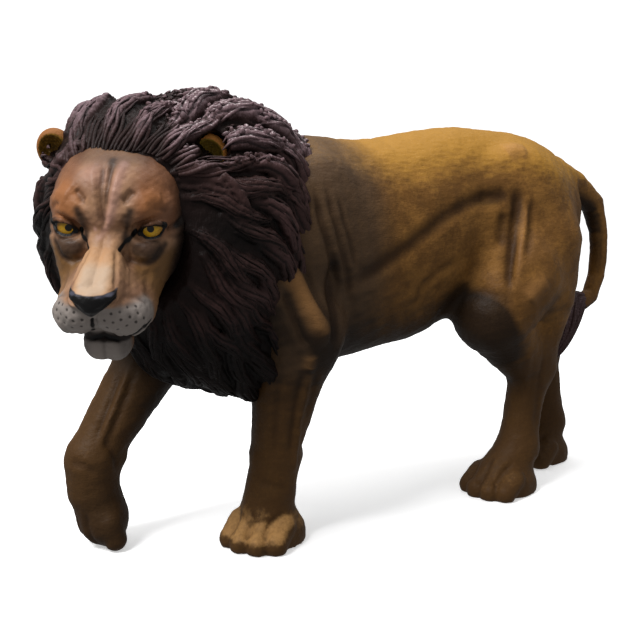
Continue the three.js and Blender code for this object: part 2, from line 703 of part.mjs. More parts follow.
function earClay() {
  const radius = EAR_DIAMETER / 2;
  const stem = [[EAR_BACK + 6, SKULL_WIDTH / 2 - 5, 7], [EAR_BACK - 0.5, EAR_Y - 1.6, 11]];
  return new Clay(headFrame)
    .add(ball([EAR_BACK, EAR_Y, EAR_RISE], [4.2, radius, radius * 1.12]), 1, true)
    .add(limb(stem, [4, 5]), 3, true)
    .carve(ball([EAR_BACK + 4.2, EAR_Y + 0.4, EAR_RISE - 0.4], [5, radius * 0.79, radius * 0.92]), 1, true);
}

// Mane: a thick ruff round the neck, combed into locks that sweep back and down from the face
const NAPE_X = MANE_BACK_X - 6;
const RUFF_X = (EYE_POINT_X + MANE_BACK_X) / 2;
const RUFF_HEIGHT = WITHERS_HEIGHT - CHEST_DEPTH - RUFF_DROP;

function maneBase() {
  const half = MANE_WIDTH / 2;
  const skull = SKULL_WIDTH / 2;
  const top = MANE_TOP - half * 0.95;
  const throat = headPoint(-46, 0, -14);
  const nape = headPoint(-48, 0, -2);
  return new Clay()
    .add(new Clay(headFrame).add(ball([-39, 3, 7], [30, skull + 0.4, 23.6])))
    .add(limb(
      [nape.toArray(), [RUFF_X + 10.4, 0, top - 1], [NAPE_X - 8, 0, top - 3.6]],
      [half * 0.8, half, half * 0.8],
    ), 10)
    .add(limb(
      [throat.toArray(), [RUFF_X + 5.4, -4, top - 20], [NAPE_X - 20, 0, top - 18]],
      [half * 0.82, half * 1.04, half * 0.86],
    ), 10)
    .add(ball([RUFF_X + 4.4, -6, RUFF_HEIGHT + 42], [26, 30, 34]), 10)
    .add(ball([NAPE_X - 10, -6, RUFF_HEIGHT + 21.5], [24, 24, 21.5]), 8)
    .add(new Clay(headFrame).add(ball([-32, 0, -18], [24, skull + 6.4, 34])), 8)
    .carve(new Clay(headFrame).add(ball([8, 0, -9], [34, skull + 7.2, 30])), 3);
}

function outwardAt(clay, p) {
  return slope(clay, p, 0.5).normalize();
}

// Walks a point to the clay's surface
function settle(clay, point, rounds) {
  const p = point.clone();
  const stride = 6;
  for (let i = 0; i < rounds; i += 1) {
    p.addScaledVector(outwardAt(clay, p), -clamp(clay.distance(p), -stride, stride));
  }
  return p;
}

// Hair is combed out and back from the face. It hangs more the lower and the further back it grows
const headInverse = headFrame.clone().invert();

function hairDirection(p, normal) {
  const head = p.clone().applyMatrix4(headInverse);
  const flow = headPoint(-0.8, head.y / 30, (head.z + 6) / 30).sub(headPoint(0, 0, 0));
  const behind = clamp((p.x - NAPE_X + 14) / 26, 0, 1);
  flow.x = (flow.x + 0.35) * (1 - behind);
  flow.z -= clamp((26 - head.z) / 26, 0, 1.5) + 0.9 * behind;
  return flow.addScaledVector(normal, -flow.dot(normal)).normalize();
}

// Lock roots: an even spread over the ruff, kept clear of the face and of the woolly crown. The locks that
// frame the face are finer
const ROOT_TRIES = 2000;
const GOLDEN_TURN = Math.PI * (1 + Math.sqrt(5));
const FRINGE_SHARE = 0.66;

function lockWidth(root) {
  const behindFace = clamp((-root.forward - 18) / 12, 0, 1);
  return LOCK_WIDTH * lerp(FRINGE_SHARE, 1, behindFace);
}

function lockRoots(base, head) {
  const centre = new THREE.Vector3(RUFF_X + 2.4, -12, RUFF_HEIGHT + 68);
  const candidates = [];
  for (let i = 0.5; i < ROOT_TRIES; i += 1) {
    const z = 1 - 2 * i / ROOT_TRIES;
    const level = Math.sqrt(1 - z * z);
    const spoke = new THREE.Vector3(
      44 * level * Math.cos(GOLDEN_TURN * i),
      38 * level * Math.sin(GOLDEN_TURN * i),
      44 * z,
    );
    const p = settle(base, centre.clone().add(spoke), 12);
    const normal = outwardAt(base, p);
    const local = p.clone().applyMatrix4(headInverse);
    const onForehead = local.x > -9 && local.z > 8;
    const settled = Math.abs(base.distance(p)) < 0.3;
    const onSide = normal.z < 0.8 && normal.z > -0.75;
    if (!settled || !onSide || onForehead) continue;
    if (p.x > NAPE_X + 4 || head.distance(p) < 0.6) continue;
    candidates.push({ p, flow: hairDirection(p, normal), forward: local.x });
  }
  candidates.sort((a, b) => b.forward - a.forward);
  const roots = [];
  for (const candidate of candidates) {
    const room = 0.8 * lockWidth(candidate);
    const crowded = roots.some(({ p, flow }) => {
      const away = candidate.p.clone().sub(p);
      const along = away.dot(flow);
      return (along / 2.2) ** 2 + away.lengthSq() - along ** 2 < room ** 2;
    });
    if (!crowded) roots.push(candidate);
  }
  return roots;
}

function maneClay() {
  const base = maneBase();
  const clay = new Clay().add(base);
  const taper = [0.2, 0.36, 0.44, 0.44, 0.32, 0.1];
  const last = taper.length - 1;
  lockRoots(base, headClay()).forEach((root, number) => {
    const width = lockWidth(root);
    let p = root.p;
    const path = taper.map((_, step) => {
      const share = step / last;
      const normal = outwardAt(base, p);
      const flow = hairDirection(p, normal);
      const sideways = normal.clone().cross(flow);
      const sway = 1.7 * Math.sin(2.4 * number + 2 * Math.PI * share);
      const lift = 0.2 * width * share ** 1.5 - 0.8;
      const node = p.clone().addScaledVector(normal, lift).addScaledVector(sideways, sway);
      p = settle(base, p.clone().addScaledVector(flow, LOCK_LENGTH / last), 3);
      return node.toArray();
    });
    clay.add(limb(path, taper.map((share) => share * width)), 1.2);
  });
  const earRoom = EAR_DIAMETER / 2 - 0.4;
  const earPocket = ball([EAR_BACK + 8, EAR_Y + 2.6, EAR_RISE + 2.8], [11, earRoom, earRoom * 1.1]);
  return clay.carve(new Clay(headFrame).add(earPocket, 1, true), 1);
}

// Castings: each piece is meshed from its clay, then cut where its neighbours meet it
const WIDE = 200;
const NET_MARGIN = 8;
const SOLE_MARGIN = 6;
const FORELEG_SEAM = WITHERS_HEIGHT - CHEST_DEPTH - 2;
const HINDLEG_SEAM = LOIN_HEIGHT - LOIN_DEPTH - 6;
const TAIL_SEAM_X = TAIL_ROOT_X + 11.5;
const HEAD_SEAM = -42;

// The same facets moved outwards, to cut a neighbour with an even gap
function inflated(geometry, by) {
  const larger = geometry.clone();
  larger.computeVertexNormals();
  const { position, normal } = larger.attributes;
  for (let i = 0; i < position.count; i += 1) {
    const moved = new THREE.Vector3().fromBufferAttribute(position, i)
      .addScaledVector(new THREE.Vector3().fromBufferAttribute(normal, i), by);
    position.setXYZ(i, ...moved.toArray());
  }
  return solidOf(larger);
}

function geometryOf(solid) {
  const { vertProperties, triVerts } = solid.getMesh();
  const geometry = new THREE.BufferGeometry();
  geometry.setAttribute('position', new THREE.BufferAttribute(vertProperties, 3));
  geometry.setIndex(new THREE.BufferAttribute(triVerts, 1));
  return geometry;
}

// Trimming can leave crumbs: the piece is the body with the most facets
function mainBody(solid) {
  const geometry = geometryOf(solid);
  const corners = geometry.index.array;
  const owner = Array.from({ length: geometry.attributes.position.count }, (_, i) => i);
  const find = (i) => {
    let root = i;
    while (owner[root] !== root) root = owner[root];
    owner[i] = root;
    return root;
  };
  for (let i = 0; i < corners.length; i += 3) {
    owner[find(corners[i])] = find(corners[i + 1]);
    owner[find(corners[i + 1])] = find(corners[i + 2]);
  }
  const bodies = new Map();
  for (let i = 0; i < corners.length; i += 3) {
    const root = find(corners[i]);
    if (!bodies.has(root)) bodies.set(root, []);
    bodies.get(root).push(corners[i], corners[i + 1], corners[i + 2]);
  }
  const largest = [...bodies.values()].sort((a, b) => b.length - a.length)[0];
  const body = new THREE.BufferGeometry();
  body.setAttribute('position', geometry.attributes.position);
  body.setIndex(largest);
  return mergeVertices(body.toNonIndexed(), 1e-6);
}

const trunkClay = new Clay();
addTrunk(trunkClay);
addForelegs(trunkClay);
addHindlegs(trunkClay);
addTail(trunkClay, 3);
const tailClay = new Clay();
addTrunk(tailClay);
addTail(tailClay, 8);

const ground = block([-WIDE, -WIDE, 0], [WIDE, WIDE, WIDE]);

// A leg is cut from the clay at a level seam and keyed to the trunk by an oval tenon
function castLeg([startX, startY], [endX, endY], seam) {
  const netBox = boxOf([startX, startY, -SOLE_MARGIN], [endX, endY, seam + NET_MARGIN]);
  const net = surfaceNet(trunkClay, netBox, LEG_MESH);
  const region = (gap) => block(
    [startX - gap, startY - gap, -WIDE],
    [endX + gap, endY + gap, seam + gap],
  );
  const leg = solidOf(net).intersect(ground).intersect(region(0));
  const slab = block([-WIDE, -WIDE, seam - 1], [WIDE, WIDE, seam + 1]);
  const { min, max } = leg.intersect(slab).boundingBox();
  const middle = new THREE.Vector3((min[0] + max[0]) / 2, (min[1] + max[1]) / 2, seam);
  const up = new THREE.Vector3(0, 0, 1);
  return {
    solid: leg.add(tenon(middle, up, 0)),
    outer: inflated(net, SLIP_GAP),
    socket: region(SLIP_GAP).add(tenon(middle, up, SLIP_GAP)),
  };
}

const OUTSIDE = 60;
const PARTING_HALF = 0.5;
const forelegLeft = castLeg([SHOULDER_X - 45, -OUTSIDE], [SHOULDER_X + 25, -PARTING_HALF], FORELEG_SEAM);
const forelegRight = castLeg(
  [RIGHT_FOREPAW_X - 30, PARTING_HALF],
  [SHOULDER_X - 12, OUTSIDE],
  FORELEG_SEAM,
);
const hindlegLeft = castLeg([HIP_X - 47, -OUTSIDE], [HIP_X + 40, -PARTING_HALF], HINDLEG_SEAM);
const hindlegRight = castLeg([HIP_X - 47, PARTING_HALF], [HIP_X + 75, OUTSIDE], HINDLEG_SEAM);
const legs = [forelegLeft, forelegRight, hindlegLeft, hindlegRight];

// Tail and tuft
const tailBox = boxOf(
  [TAIL_SEAM_X - NET_MARGIN, -20, TUFT_HEIGHT - 12],
  [TAIL_REACH + 14, 20, CROUP_HEIGHT + 3],
);
const tailNet = surfaceNet(tailClay, tailBox, LEG_MESH);
const tailSide = (gap) => block([TAIL_SEAM_X - gap, -WIDE, 0], [WIDE, WIDE, WIDE]);
const tailStart = new THREE.Vector3(TAIL_SEAM_X, 0, TAIL_ROOT_HEIGHT - 3);
const inwards = new THREE.Vector3(-1, 0, 0);
const tailTenon = (gap) => tenon(tailStart, inwards, gap, TENON_DIAMETER * 0.7, TENON_LENGTH);
const tail = solidOf(tailNet).intersect(tailSide(0)).add(tailTenon(0));
const tuftBox = boxOf(
  [TAIL_REACH - TUFT_LENGTH - 20, -30, TUFT_HEIGHT - TUFT_LENGTH - 15],
  [TAIL_REACH + 10, 20, TUFT_HEIGHT + 25],
);
const tuftNet = surfaceNet(tuftClay(), tuftBox, TRIM_MESH);
const tuft = solidOf(tuftNet).subtract(inflated(tailNet, SLIP_GAP)).subtract(hindlegLeft.outer);

// Head with eyes and ears
const headBox = boxOf([-60, -45, -50], [50, 45, 45]).applyMatrix4(headFrame);
const headNet = surfaceNet(headClay(), headBox, HEAD_MESH);
const headSide = (gap) => block([HEAD_SEAM - gap, -45, -48], [WIDE, 45, 48], headFrame);
const headTenon = (gap) => {
  const start = headPoint(HEAD_SEAM, 0, 2);
  const backwards = start.clone().sub(headPoint(HEAD_SEAM + 1, 0, 2));
  return tenon(start, backwards, gap, TENON_DIAMETER * 1.6, TENON_LENGTH * 1.5);
};
const eyeNet = surfaceNet(eyeClay(), headBox, TRIM_MESH);
const earNet = surfaceNet(earClay(), headBox.clone().expandByScalar(10), TRIM_MESH);
const head = solidOf(headNet).intersect(headSide(0)).add(headTenon(0)).subtract(inflated(eyeNet, SLIP_GAP));
const leftHalf = block([-WIDE, 0, -WIDE], [WIDE, WIDE, WIDE], headFrame);
const rightHalf = block([-WIDE, -WIDE, -WIDE], [WIDE, 0, WIDE], headFrame);

// Trunk
const ventStart = new THREE.Vector3(SHOULDER_X + 60, 0, WITHERS_HEIGHT - CHEST_DEPTH - 2);
const vent = tenon(ventStart, new THREE.Vector3(0, 0, 1), 0, VENT_DIAMETER, VENT_DEPTH);
const trunkBox = boxOf(
  [SHOULDER_X - 75, -50, ELBOW_HEIGHT - 26],
  [TAIL_SEAM_X + NET_MARGIN, 50, LOIN_HEIGHT + 15.5],
);
const trunkNet = surfaceNet(trunkClay, trunkBox, TRUNK_MESH);
let trunk = solidOf(trunkNet).subtract(vent).subtract(tailSide(SLIP_GAP).add(tailTenon(SLIP_GAP)));
for (const leg of legs) trunk = trunk.subtract(leg.socket);
trunk = trunk.subtract(headSide(SLIP_GAP).add(headTenon(SLIP_GAP)));

const headRoom = inflated(headNet, SLIP_GAP);
const trunkRoom = inflated(trunkNet, SLIP_GAP);
const ears = solidOf(earNet).subtract(headRoom).subtract(trunkRoom);

// Mane, in four pieces that meet at level and upright seams
const maneBox = boxOf(
  [EYE_POINT_X - 53, EYE_POINT_Y - 49, RUFF_HEIGHT - 12],
  [MANE_BACK_X + 35, 70, MANE_TOP + 22],
);
const maneNet = surfaceNet(maneClay(), maneBox, MANE_MESH);
let mane = solidOf(maneNet).subtract(trunkRoom).subtract(headRoom);
mane = mane.subtract(inflated(earNet, SLIP_GAP));
for (const leg of legs.slice(0, 2)) mane = mane.subtract(leg.outer);
const CROWN_SEAM = MANE_TOP - 30;
const CHEST_SEAM = RUFF_HEIGHT + 32;
const parting = new THREE.Matrix4().makeTranslation(EYE_POINT_X, EYE_POINT_Y, 0)
  .multiply(new THREE.Matrix4().makeRotationZ(Math.atan2(-EYE_POINT_Y, NAPE_X - EYE_POINT_X)));
const half = SLIP_GAP / 2;
const crownSide = block([-WIDE, -WIDE, CROWN_SEAM + half], [WIDE, WIDE, WIDE]);
const chestSide = block([-WIDE, -WIDE, 0], [WIDE, WIDE, CHEST_SEAM - half]);
const leftSide = block([-WIDE, -WIDE, CHEST_SEAM + half], [WIDE, -half, CROWN_SEAM - half], parting);
const rightSide = block([-WIDE, half, CHEST_SEAM + half], [WIDE, WIDE, CROWN_SEAM - half], parting);

const OCHRE = 0x8f6326;
const BROWN = 0x5d3a18;
const DARK = 0x2b1a17;
const pieces = [
  ['trunk_casting', trunk, OCHRE, 0.6],
  ['head_casting', head, 0x7a4c2c, 0.6],
  ['ear_left', ears.intersect(leftHalf), 0x7f4f1f, 0.6],
  ['ear_right', ears.intersect(rightHalf), 0x7f4f1f, 0.6],
  ['eye_left', solidOf(eyeNet).intersect(leftHalf), 0xd9a514, 0.15],
  ['eye_right', solidOf(eyeNet).intersect(rightHalf), 0xd9a514, 0.15],
  ['mane_crown', mane.intersect(crownSide), DARK, 0.7],
  ['mane_left', mane.intersect(leftSide), DARK, 0.7],
  ['mane_right', mane.intersect(rightSide), DARK, 0.7],
  ['mane_chest', mane.intersect(chestSide), DARK, 0.7],
  ['foreleg_left', forelegLeft.solid, BROWN, 0.6],
  ['foreleg_right', forelegRight.solid, BROWN, 0.6],
  ['hindleg_left', hindlegLeft.solid, BROWN, 0.6],
  ['hindleg_right', hindlegRight.solid, BROWN, 0.6],
  ['tail_casting', tail, BROWN, 0.6],
  ['tail_tuft', tuft, 0x1a1413, 0.7],
];

const lion = new THREE.Group();
for (const [name, solid, color, roughness] of pieces) {
  const material = new THREE.MeshStandardMaterial({ color, roughness, metalness: 0 });
  const mesh = new THREE.Mesh(mainBody(solid), material);
  mesh.name = name;
  mesh.geometry.computeVertexNormals();
  lion.add(mesh);
}

// The origin is the middle of the outline on the ground
const outline = new THREE.Box3().setFromObject(lion);
const centre = outline.getCenter(new THREE.Vector3());
for (const mesh of lion.children) mesh.position.set(-centre.x, -centre.y, -outline.min.z);

export default lion;
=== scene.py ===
# %% [markdown]
# # A painted lion figurine
# The real object is a small lion ornament: castings luted together, then airbrushed and dry-brushed by hand. Its
# paints here also carry painted light: painted highlights where it faces up or stands out, and painted shade in
# folds, hollows and underneath. The castings are loaded first as a fixed frame. Every piece that follows is laid over
# one of them, in metres and in the same place.

# %% The frame
import math

import bpy
import numpy as np
from mathutils import Matrix, Vector


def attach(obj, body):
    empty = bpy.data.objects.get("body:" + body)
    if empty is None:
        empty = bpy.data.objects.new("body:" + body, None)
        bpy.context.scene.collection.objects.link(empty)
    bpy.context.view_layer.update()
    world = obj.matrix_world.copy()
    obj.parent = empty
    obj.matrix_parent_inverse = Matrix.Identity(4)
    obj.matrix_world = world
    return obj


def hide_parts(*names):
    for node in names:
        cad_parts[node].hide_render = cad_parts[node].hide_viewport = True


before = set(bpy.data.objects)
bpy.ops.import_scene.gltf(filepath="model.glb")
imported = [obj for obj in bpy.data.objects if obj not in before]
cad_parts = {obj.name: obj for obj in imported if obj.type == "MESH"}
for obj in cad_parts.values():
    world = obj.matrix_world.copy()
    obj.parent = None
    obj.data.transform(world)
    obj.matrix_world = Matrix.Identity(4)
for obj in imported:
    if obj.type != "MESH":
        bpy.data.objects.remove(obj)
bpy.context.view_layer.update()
print("castings:", ", ".join(sorted(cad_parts)))

# %% [markdown]
# ## The photographer's place
# The camera stands a third of a metre from the lion's face, just above its eyes and turned 30 degrees from
# the side. It comes first, because folds, hair and patches of paint are placed where a ray from it meets
# the lion. Sculpting is done in millimetres, and MIDDLE moves the sculpture's grid to the castings' frame.

# %% The camera
MM = 0.001
MIDDLE = np.array([5.745, 8.033, 0.0])
IMAGE_PIXELS, FOCAL_PIXELS, SENSOR_WIDTH = 640, 1000.0, 36.0
CAMERA_PLACE = np.array([-238.2, -369.5, 160.0])
CAMERA_AZIMUTH = math.radians(-29.8)
CAMERA_PITCH = math.radians(9.6)
ahead = np.array([
    -math.sin(CAMERA_AZIMUTH) * math.cos(CAMERA_PITCH),
    math.cos(CAMERA_AZIMUTH) * math.cos(CAMERA_PITCH),
    -math.sin(CAMERA_PITCH),
])
rightwards = np.array([math.cos(CAMERA_AZIMUTH), math.sin(CAMERA_AZIMUTH), 0.0])
upwards = np.cross(rightwards, ahead)


def to_frame(points):
    """From millimetres on the sculpture's grid to metres in the castings' frame."""
    return (points + MIDDLE) * MM


def new_object(name, data):
    """An object in the scene, for a mesh, a lamp or a camera."""
    thing = bpy.data.objects.new(name, data)
    bpy.context.scene.collection.objects.link(thing)
    return thing


camera = new_object("camera", bpy.data.cameras.new("camera"))
camera.data.sensor_width = SENSOR_WIDTH
camera.data.lens = FOCAL_PIXELS / IMAGE_PIXELS * SENSOR_WIDTH
camera.data.clip_start = 0.01
place = to_frame(CAMERA_PLACE)
camera.matrix_world = Matrix([[*row] for row in zip(
    (*rightwards, 0), (*upwards, 0), (*-ahead, 0), (*place, 1))])
bpy.context.scene.camera = camera
print("camera at", [round(float(c), 3) for c in place])

# %% [markdown]
# ## Clay
# The lion is one smooth skin with soft swellings, which is hard to get from blocks. It is easier to work
# as a sculptor does: press balls and rolls of clay together, blend each join with a thumb, and carve
# hollows out. Each shape is a distance function: a number for every point in space, negative inside. A
# blend is a smooth minimum of two of them, so any number of shapes makes one skin without a seam.

# %% Distance functions
FAR_OFF = 1e3  # millimetres, farther than any shape


def smooth_min(a, b, blend):
    """The smaller of two distances, with the corner between them rounded over a width."""
    share = np.clip(0.5 + 0.5 * (b - a) / blend, 0, 1)
    return b + (a - b) * share - blend * share * (1 - share)


def turned(yaw=0.0, pitch=0.0, roll=0.0):
    """The matrix of a turn about Z, then Y, then X, in degrees."""
    y, p, r = (math.radians(angle) for angle in (yaw, pitch, roll))
    about_z = np.array([[math.cos(y), -math.sin(y), 0], [math.sin(y), math.cos(y), 0], [0, 0, 1]])
    about_y = np.array([[math.cos(p), 0, math.sin(p)], [0, 1, 0], [-math.sin(p), 0, math.cos(p)]])
    about_x = np.array([[1, 0, 0], [0, math.cos(r), -math.sin(r)], [0, math.sin(r), math.cos(r)]])
    return about_z @ about_y @ about_x


class Grid:
    """A local grid: where its origin is, and how it is turned."""

    def __init__(self, origin=(0, 0, 0), turn=np.eye(3)):
        self.origin = np.array(origin, float)
        self.turn = turn

    def inside(self, points):
        """Places in the world, as places on this grid."""
        return (points - self.origin) @ self.turn

    def outside(self, points):
        return np.asarray(points, float) @ self.turn.T + self.origin


def to_line(points, line, radii):
    """How far points are from a line's nearest stretch, less its radius there, and how far along it."""
    line = np.array(line, float)
    lengths = np.linalg.norm(np.diff(line, axis=0), axis=1)
    before = np.concatenate([[0], np.cumsum(lengths)])
    best = np.full(len(points), FAR_OFF)
    along = np.zeros(len(points))
    for i in range(len(line) - 1):
        step = line[i + 1] - line[i]
        t = np.clip((points - line[i]) @ step / (step @ step), 0, 1)
        away = np.linalg.norm(points - line[i] - t[:, None] * step, axis=1)
        away -= radii[i] + (radii[i + 1] - radii[i]) * t
        nearer = away < best
        best[nearer] = away[nearer]
        along[nearer] = (before[i] + lengths[i] * t[nearer]) / before[-1]
    return best, along


def slopes(distance, points, step):
    """How much a distance grows over two steps along each axis."""
    return np.stack([distance(points + step * axis) - distance(points - step * axis) for axis in np.eye(3)], 1)


print("from (0, 3, 0) to a roll of radius 1:", to_line(np.array([[0.0, 3, 0]]), [(-1, 0, 0), (1, 0, 0)], [1, 1])[0])

# %% Clay
class Clay:
    """Shapes in millimetres, added or carved in order, each with the width of its blend."""
    REACH, BATCH = 6.0, 8000  # how far round itself a shape counts, and how many points are measured at once
    NEAREST, FARTHEST, LOOKS = 230.0, 620.0, 70  # where a ray's search starts and ends, and its steps

    def __init__(self, grid=None):
        self.grid = grid or Grid()
        self.steps = []

    def _work(self, measure, low, high, blend, paired, carved):
        self.steps.append((measure, np.array(low), np.array(high), blend, paired, carved))
        return self

    def ball(self, centre, radii, blend=4, tilt=0, paired=False, carved=False):
        centre, radii = np.array(centre, float), np.array(radii, float)
        turn = turned(0, tilt, 0)

        def measure(p):
            q = ((p - centre) @ turn) / radii
            length = np.linalg.norm(q, axis=1)
            return length * (length - 1) / (np.linalg.norm(q / radii, axis=1) + 1e-9)
        reach = radii.max() if tilt else radii
        return self._work(measure, centre - reach, centre + reach, blend, paired, carved)

    def limb(self, line, radii, blend=4, paired=False, carved=False):
        corners, size = np.array(line, float), np.array(radii, float)[:, None]
        return self._work(
            lambda p: to_line(p, line, radii)[0],
            (corners - size).min(0), (corners + size).max(0), blend, paired, carved)

    def loft(self, rings, blend=4):
        """A body along X through oval rings: place, middle height, half width, half height."""
        rings = np.array(rings, float)
        places = rings[:, 0]
        fine = np.linspace(places[0], places[-1], 200)
        gradients = [np.gradient(rings[:, k], places) for k in (1, 2, 3)]
        i = np.clip(np.searchsorted(places, fine) - 1, 0, len(places) - 2)
        gap = places[i + 1] - places[i]
        t = (fine - places[i]) / gap
        curves = []
        for k, slope in zip((1, 2, 3), gradients):
            a, b = rings[i, k], rings[i + 1, k]
            curves.append(
                (2 * t**3 - 3 * t**2 + 1) * a + (t**3 - 2 * t**2 + t) * gap * slope[i]
                + (-2 * t**3 + 3 * t**2) * b + (t**3 - t**2) * gap * slope[i + 1])

        def measure(p):
            middle, half_width, half_height = (np.interp(p[:, 0], fine, curve) for curve in curves)
            y, z = p[:, 1] / half_width, (p[:, 2] - middle) / half_height
            length = np.hypot(y, z) + 1e-6
            side = length * (length - 1) / (np.hypot(y / half_width, z / half_height) + 1e-9)
            past = np.maximum(np.maximum(places[0] - p[:, 0], p[:, 0] - places[-1]), 0)
            return np.where(past > 0, np.hypot(np.maximum(side, 0), past), side)
        low = [places[0], -rings[:, 2].max(), (rings[:, 1] - rings[:, 3]).min()]
        high = [places[-1], rings[:, 2].max(), (rings[:, 1] + rings[:, 3]).max()]
        return self._work(measure, low, high, blend, False, False)

    def join(self, other, blend=4, carved=False):
        everywhere = np.full(3, 10 * FAR_OFF)
        return self._work(other.distance_in(self.grid), -everywhere, everywhere, blend, False, carved)

    def distance_in(self, grid):
        return lambda points: self.distance(grid.outside(points))

    def distance(self, points):
        if len(points) > 2 * self.BATCH:
            parts = np.array_split(points, len(points) // self.BATCH)
            return np.concatenate([self.distance(part) for part in parts])
        here = self.grid.inside(np.asarray(points, float))
        folded = here.copy()
        folded[:, 1] = np.abs(folded[:, 1])
        lowest, highest = here.min(0), here.max(0)
        nearest = np.full(len(here), FAR_OFF)
        for measure, low, high, blend, paired, carved in self.steps:
            p = folded if paired else here
            margin = self.REACH + blend
            if not paired and ((lowest > high + margin) | (highest < low - margin)).any():
                continue
            near = np.nonzero(((p > low - margin) & (p < high + margin)).all(1))[0]
            if not len(near):
                continue
            d = measure(p[near])
            if carved:
                nearest[near] = -smooth_min(-nearest[near], d, blend)
            else:
                nearest[near] = smooth_min(nearest[near], d, blend)
        return nearest

    def outward(self, points):
        """Unit directions that point away from the clay."""
        outward = slopes(self.distance, points, 0.5)
        return outward / (np.linalg.norm(outward, axis=1, keepdims=True) + 1e-9)

    def settle(self, points, rounds=4):
        """Walks points to the surface."""
        for _ in range(rounds):
            points = points - np.clip(self.distance(points), -6, 6)[:, None] * self.outward(points)
        return points

    def seen(self, pixels):
        """Where rays from the camera through the photograph's pixels meet the clay."""
        across, down = (np.array(pixels, float) - IMAGE_PIXELS / 2).T / FOCAL_PIXELS
        rays = ahead + across[:, None] * rightwards - down[:, None] * upwards
        rays /= np.linalg.norm(rays, axis=1, keepdims=True)
        reach = np.full(len(rays), self.NEAREST)
        for _ in range(self.LOOKS):
            away = self.distance(CAMERA_PLACE + reach[:, None] * rays)
            reach = np.minimum(reach + np.clip(away, -2, 6) * 0.9, self.FARTHEST)
        return CAMERA_PLACE + reach[:, None] * rays


print("near the middle of a ball of 8 mm:", Clay().ball((0, 0, 0), [8] * 3).distance(np.ones((1, 3))), "mm")

# %% [markdown]
# ## From clay to a mesh
# A net of squares is laid over the zero surface: one point in each small cube that the surface crosses,
# and one square for each edge that it cuts. Only cubes near the surface are measured, so a half-millimetre
# net over the head takes seconds. Points are then pulled onto the surface itself.

# %% A net over a surface
BLOCK = 8  # cubes along each edge of a block
BLOCKS_AT_ONCE = 500


def lay_net(distance, low, high, cell):
    """Points and squares where distance is zero. Blocks of cubes that lie far from it are passed over."""
    low, high = np.array(low, float), np.array(high, float)
    count = np.ceil((high - low) / cell / BLOCK).astype(int) * BLOCK
    values = np.full(count + 1, FAR_OFF)
    centres = [low[i] + (np.arange(count[i] // BLOCK) + 0.5) * BLOCK * cell for i in range(3)]
    coarse = distance(np.stack(np.meshgrid(*centres, indexing="ij"), -1).reshape(-1, 3))
    coarse = coarse.reshape([len(c) for c in centres])
    values[:-1, :-1, :-1] = coarse.repeat(BLOCK, 0).repeat(BLOCK, 1).repeat(BLOCK, 2)
    near = np.argwhere(np.abs(coarse) < BLOCK * cell * 0.9 + 1.5)
    offsets = np.stack(np.meshgrid(*[np.arange(BLOCK + 1)] * 3, indexing="ij"), -1).reshape(-1, 3)
    for start in range(0, len(near), BLOCKS_AT_ONCE):
        cells = (near[start:start + BLOCKS_AT_ONCE, None] * BLOCK + offsets).reshape(-1, 3)
        values[tuple(cells.T)] = distance(low + cells * cell)
    solid = values < 0
    corners = np.stack(np.meshgrid([0, 1], [0, 1], [0, 1], indexing="ij"), -1).reshape(-1, 3)
    filled = sum(solid[x:count[0] + x, y:count[1] + y, z:count[2] + z].astype(int) for x, y, z in corners)
    crossed = (filled > 0) & (filled < 8)
    cubes = np.argwhere(crossed)
    number = np.full(count, -1)
    number[crossed] = np.arange(len(cubes))
    total, hits = np.zeros((len(cubes), 3)), np.zeros(len(cubes))
    for i in range(8):
        for j in range(i + 1, 8):
            if np.abs(corners[i] - corners[j]).sum() != 1:
                continue
            a, b = cubes + corners[i], cubes + corners[j]
            at_a, at_b = values[tuple(a.T)], values[tuple(b.T)]
            cut = (at_a < 0) != (at_b < 0)
            share = at_a / (at_a - at_b + 1e-12)
            total[cut] += (a + (b - a) * share[:, None])[cut]
            hits[cut] += 1
    points = low + total / hits[:, None] * cell
    squares = []
    for axis in range(3):
        u, v = np.eye(3, dtype=int)[(axis + 1) % 3], np.eye(3, dtype=int)[(axis + 2) % 3]
        first = [slice(1, n) for n in count]
        first[axis] = slice(0, count[axis])
        second = list(first)
        second[axis] = slice(1, count[axis] + 1)
        inside = solid[tuple(first)]
        edges = np.argwhere(inside != solid[tuple(second)])
        facing = inside[tuple(edges.T)]
        base = edges + 1
        base[:, axis] -= 1
        square = np.stack([number[tuple((base - step).T)] for step in (u + v, v, 0 * u, u)], 1)
        square[~facing] = square[~facing][:, ::-1]
        squares.append(square)
    squares = np.concatenate(squares)
    return points, squares[(squares >= 0).all(1)]


test_ball = Clay().ball((0, 0, 0), [8] * 3)
print("a ball of 8 mm has", len(lay_net(test_ball.distance, [-10] * 3, [10] * 3, 1)[1]), "squares")

# %% Skins and creases
def mesh_normals(points, faces):
    """Smooth directions at the points of a net of squares."""
    across = np.cross(points[faces[:, 2]] - points[faces[:, 0]], points[faces[:, 3]] - points[faces[:, 1]])
    normals = np.zeros_like(points)
    for k in range(4):
        np.add.at(normals, faces[:, k], across)
    return normals / (np.linalg.norm(normals, axis=1, keepdims=True) + 1e-12)


def skin(clay, low, high, cell, relief=None, on_ground=False):
    """A fine net over the clay, raised or sunk by relief(points, directions)."""
    def distance(p):
        d = clay.distance(p)
        return np.maximum(d, -p[:, 2]) if on_ground else d
    points, faces = lay_net(distance, low, high, cell)
    for _ in range(2):
        slope = slopes(distance, points, 0.3 * cell) / (0.6 * cell)
        pull = distance(points) / ((slope**2).sum(1) + 0.05)
        points = points - np.clip(pull, -0.5 * cell, 0.5 * cell)[:, None] * slope
    if relief:
        directions = mesh_normals(points, faces)
        points = points + relief(points, directions)[:, None] * directions
    return points, faces, mesh_normals(points, faces)


def smooth_step(value, start, end):
    t = np.clip((value - start) / (end - start), 0, 1)
    return t * t * (3 - 2 * t)


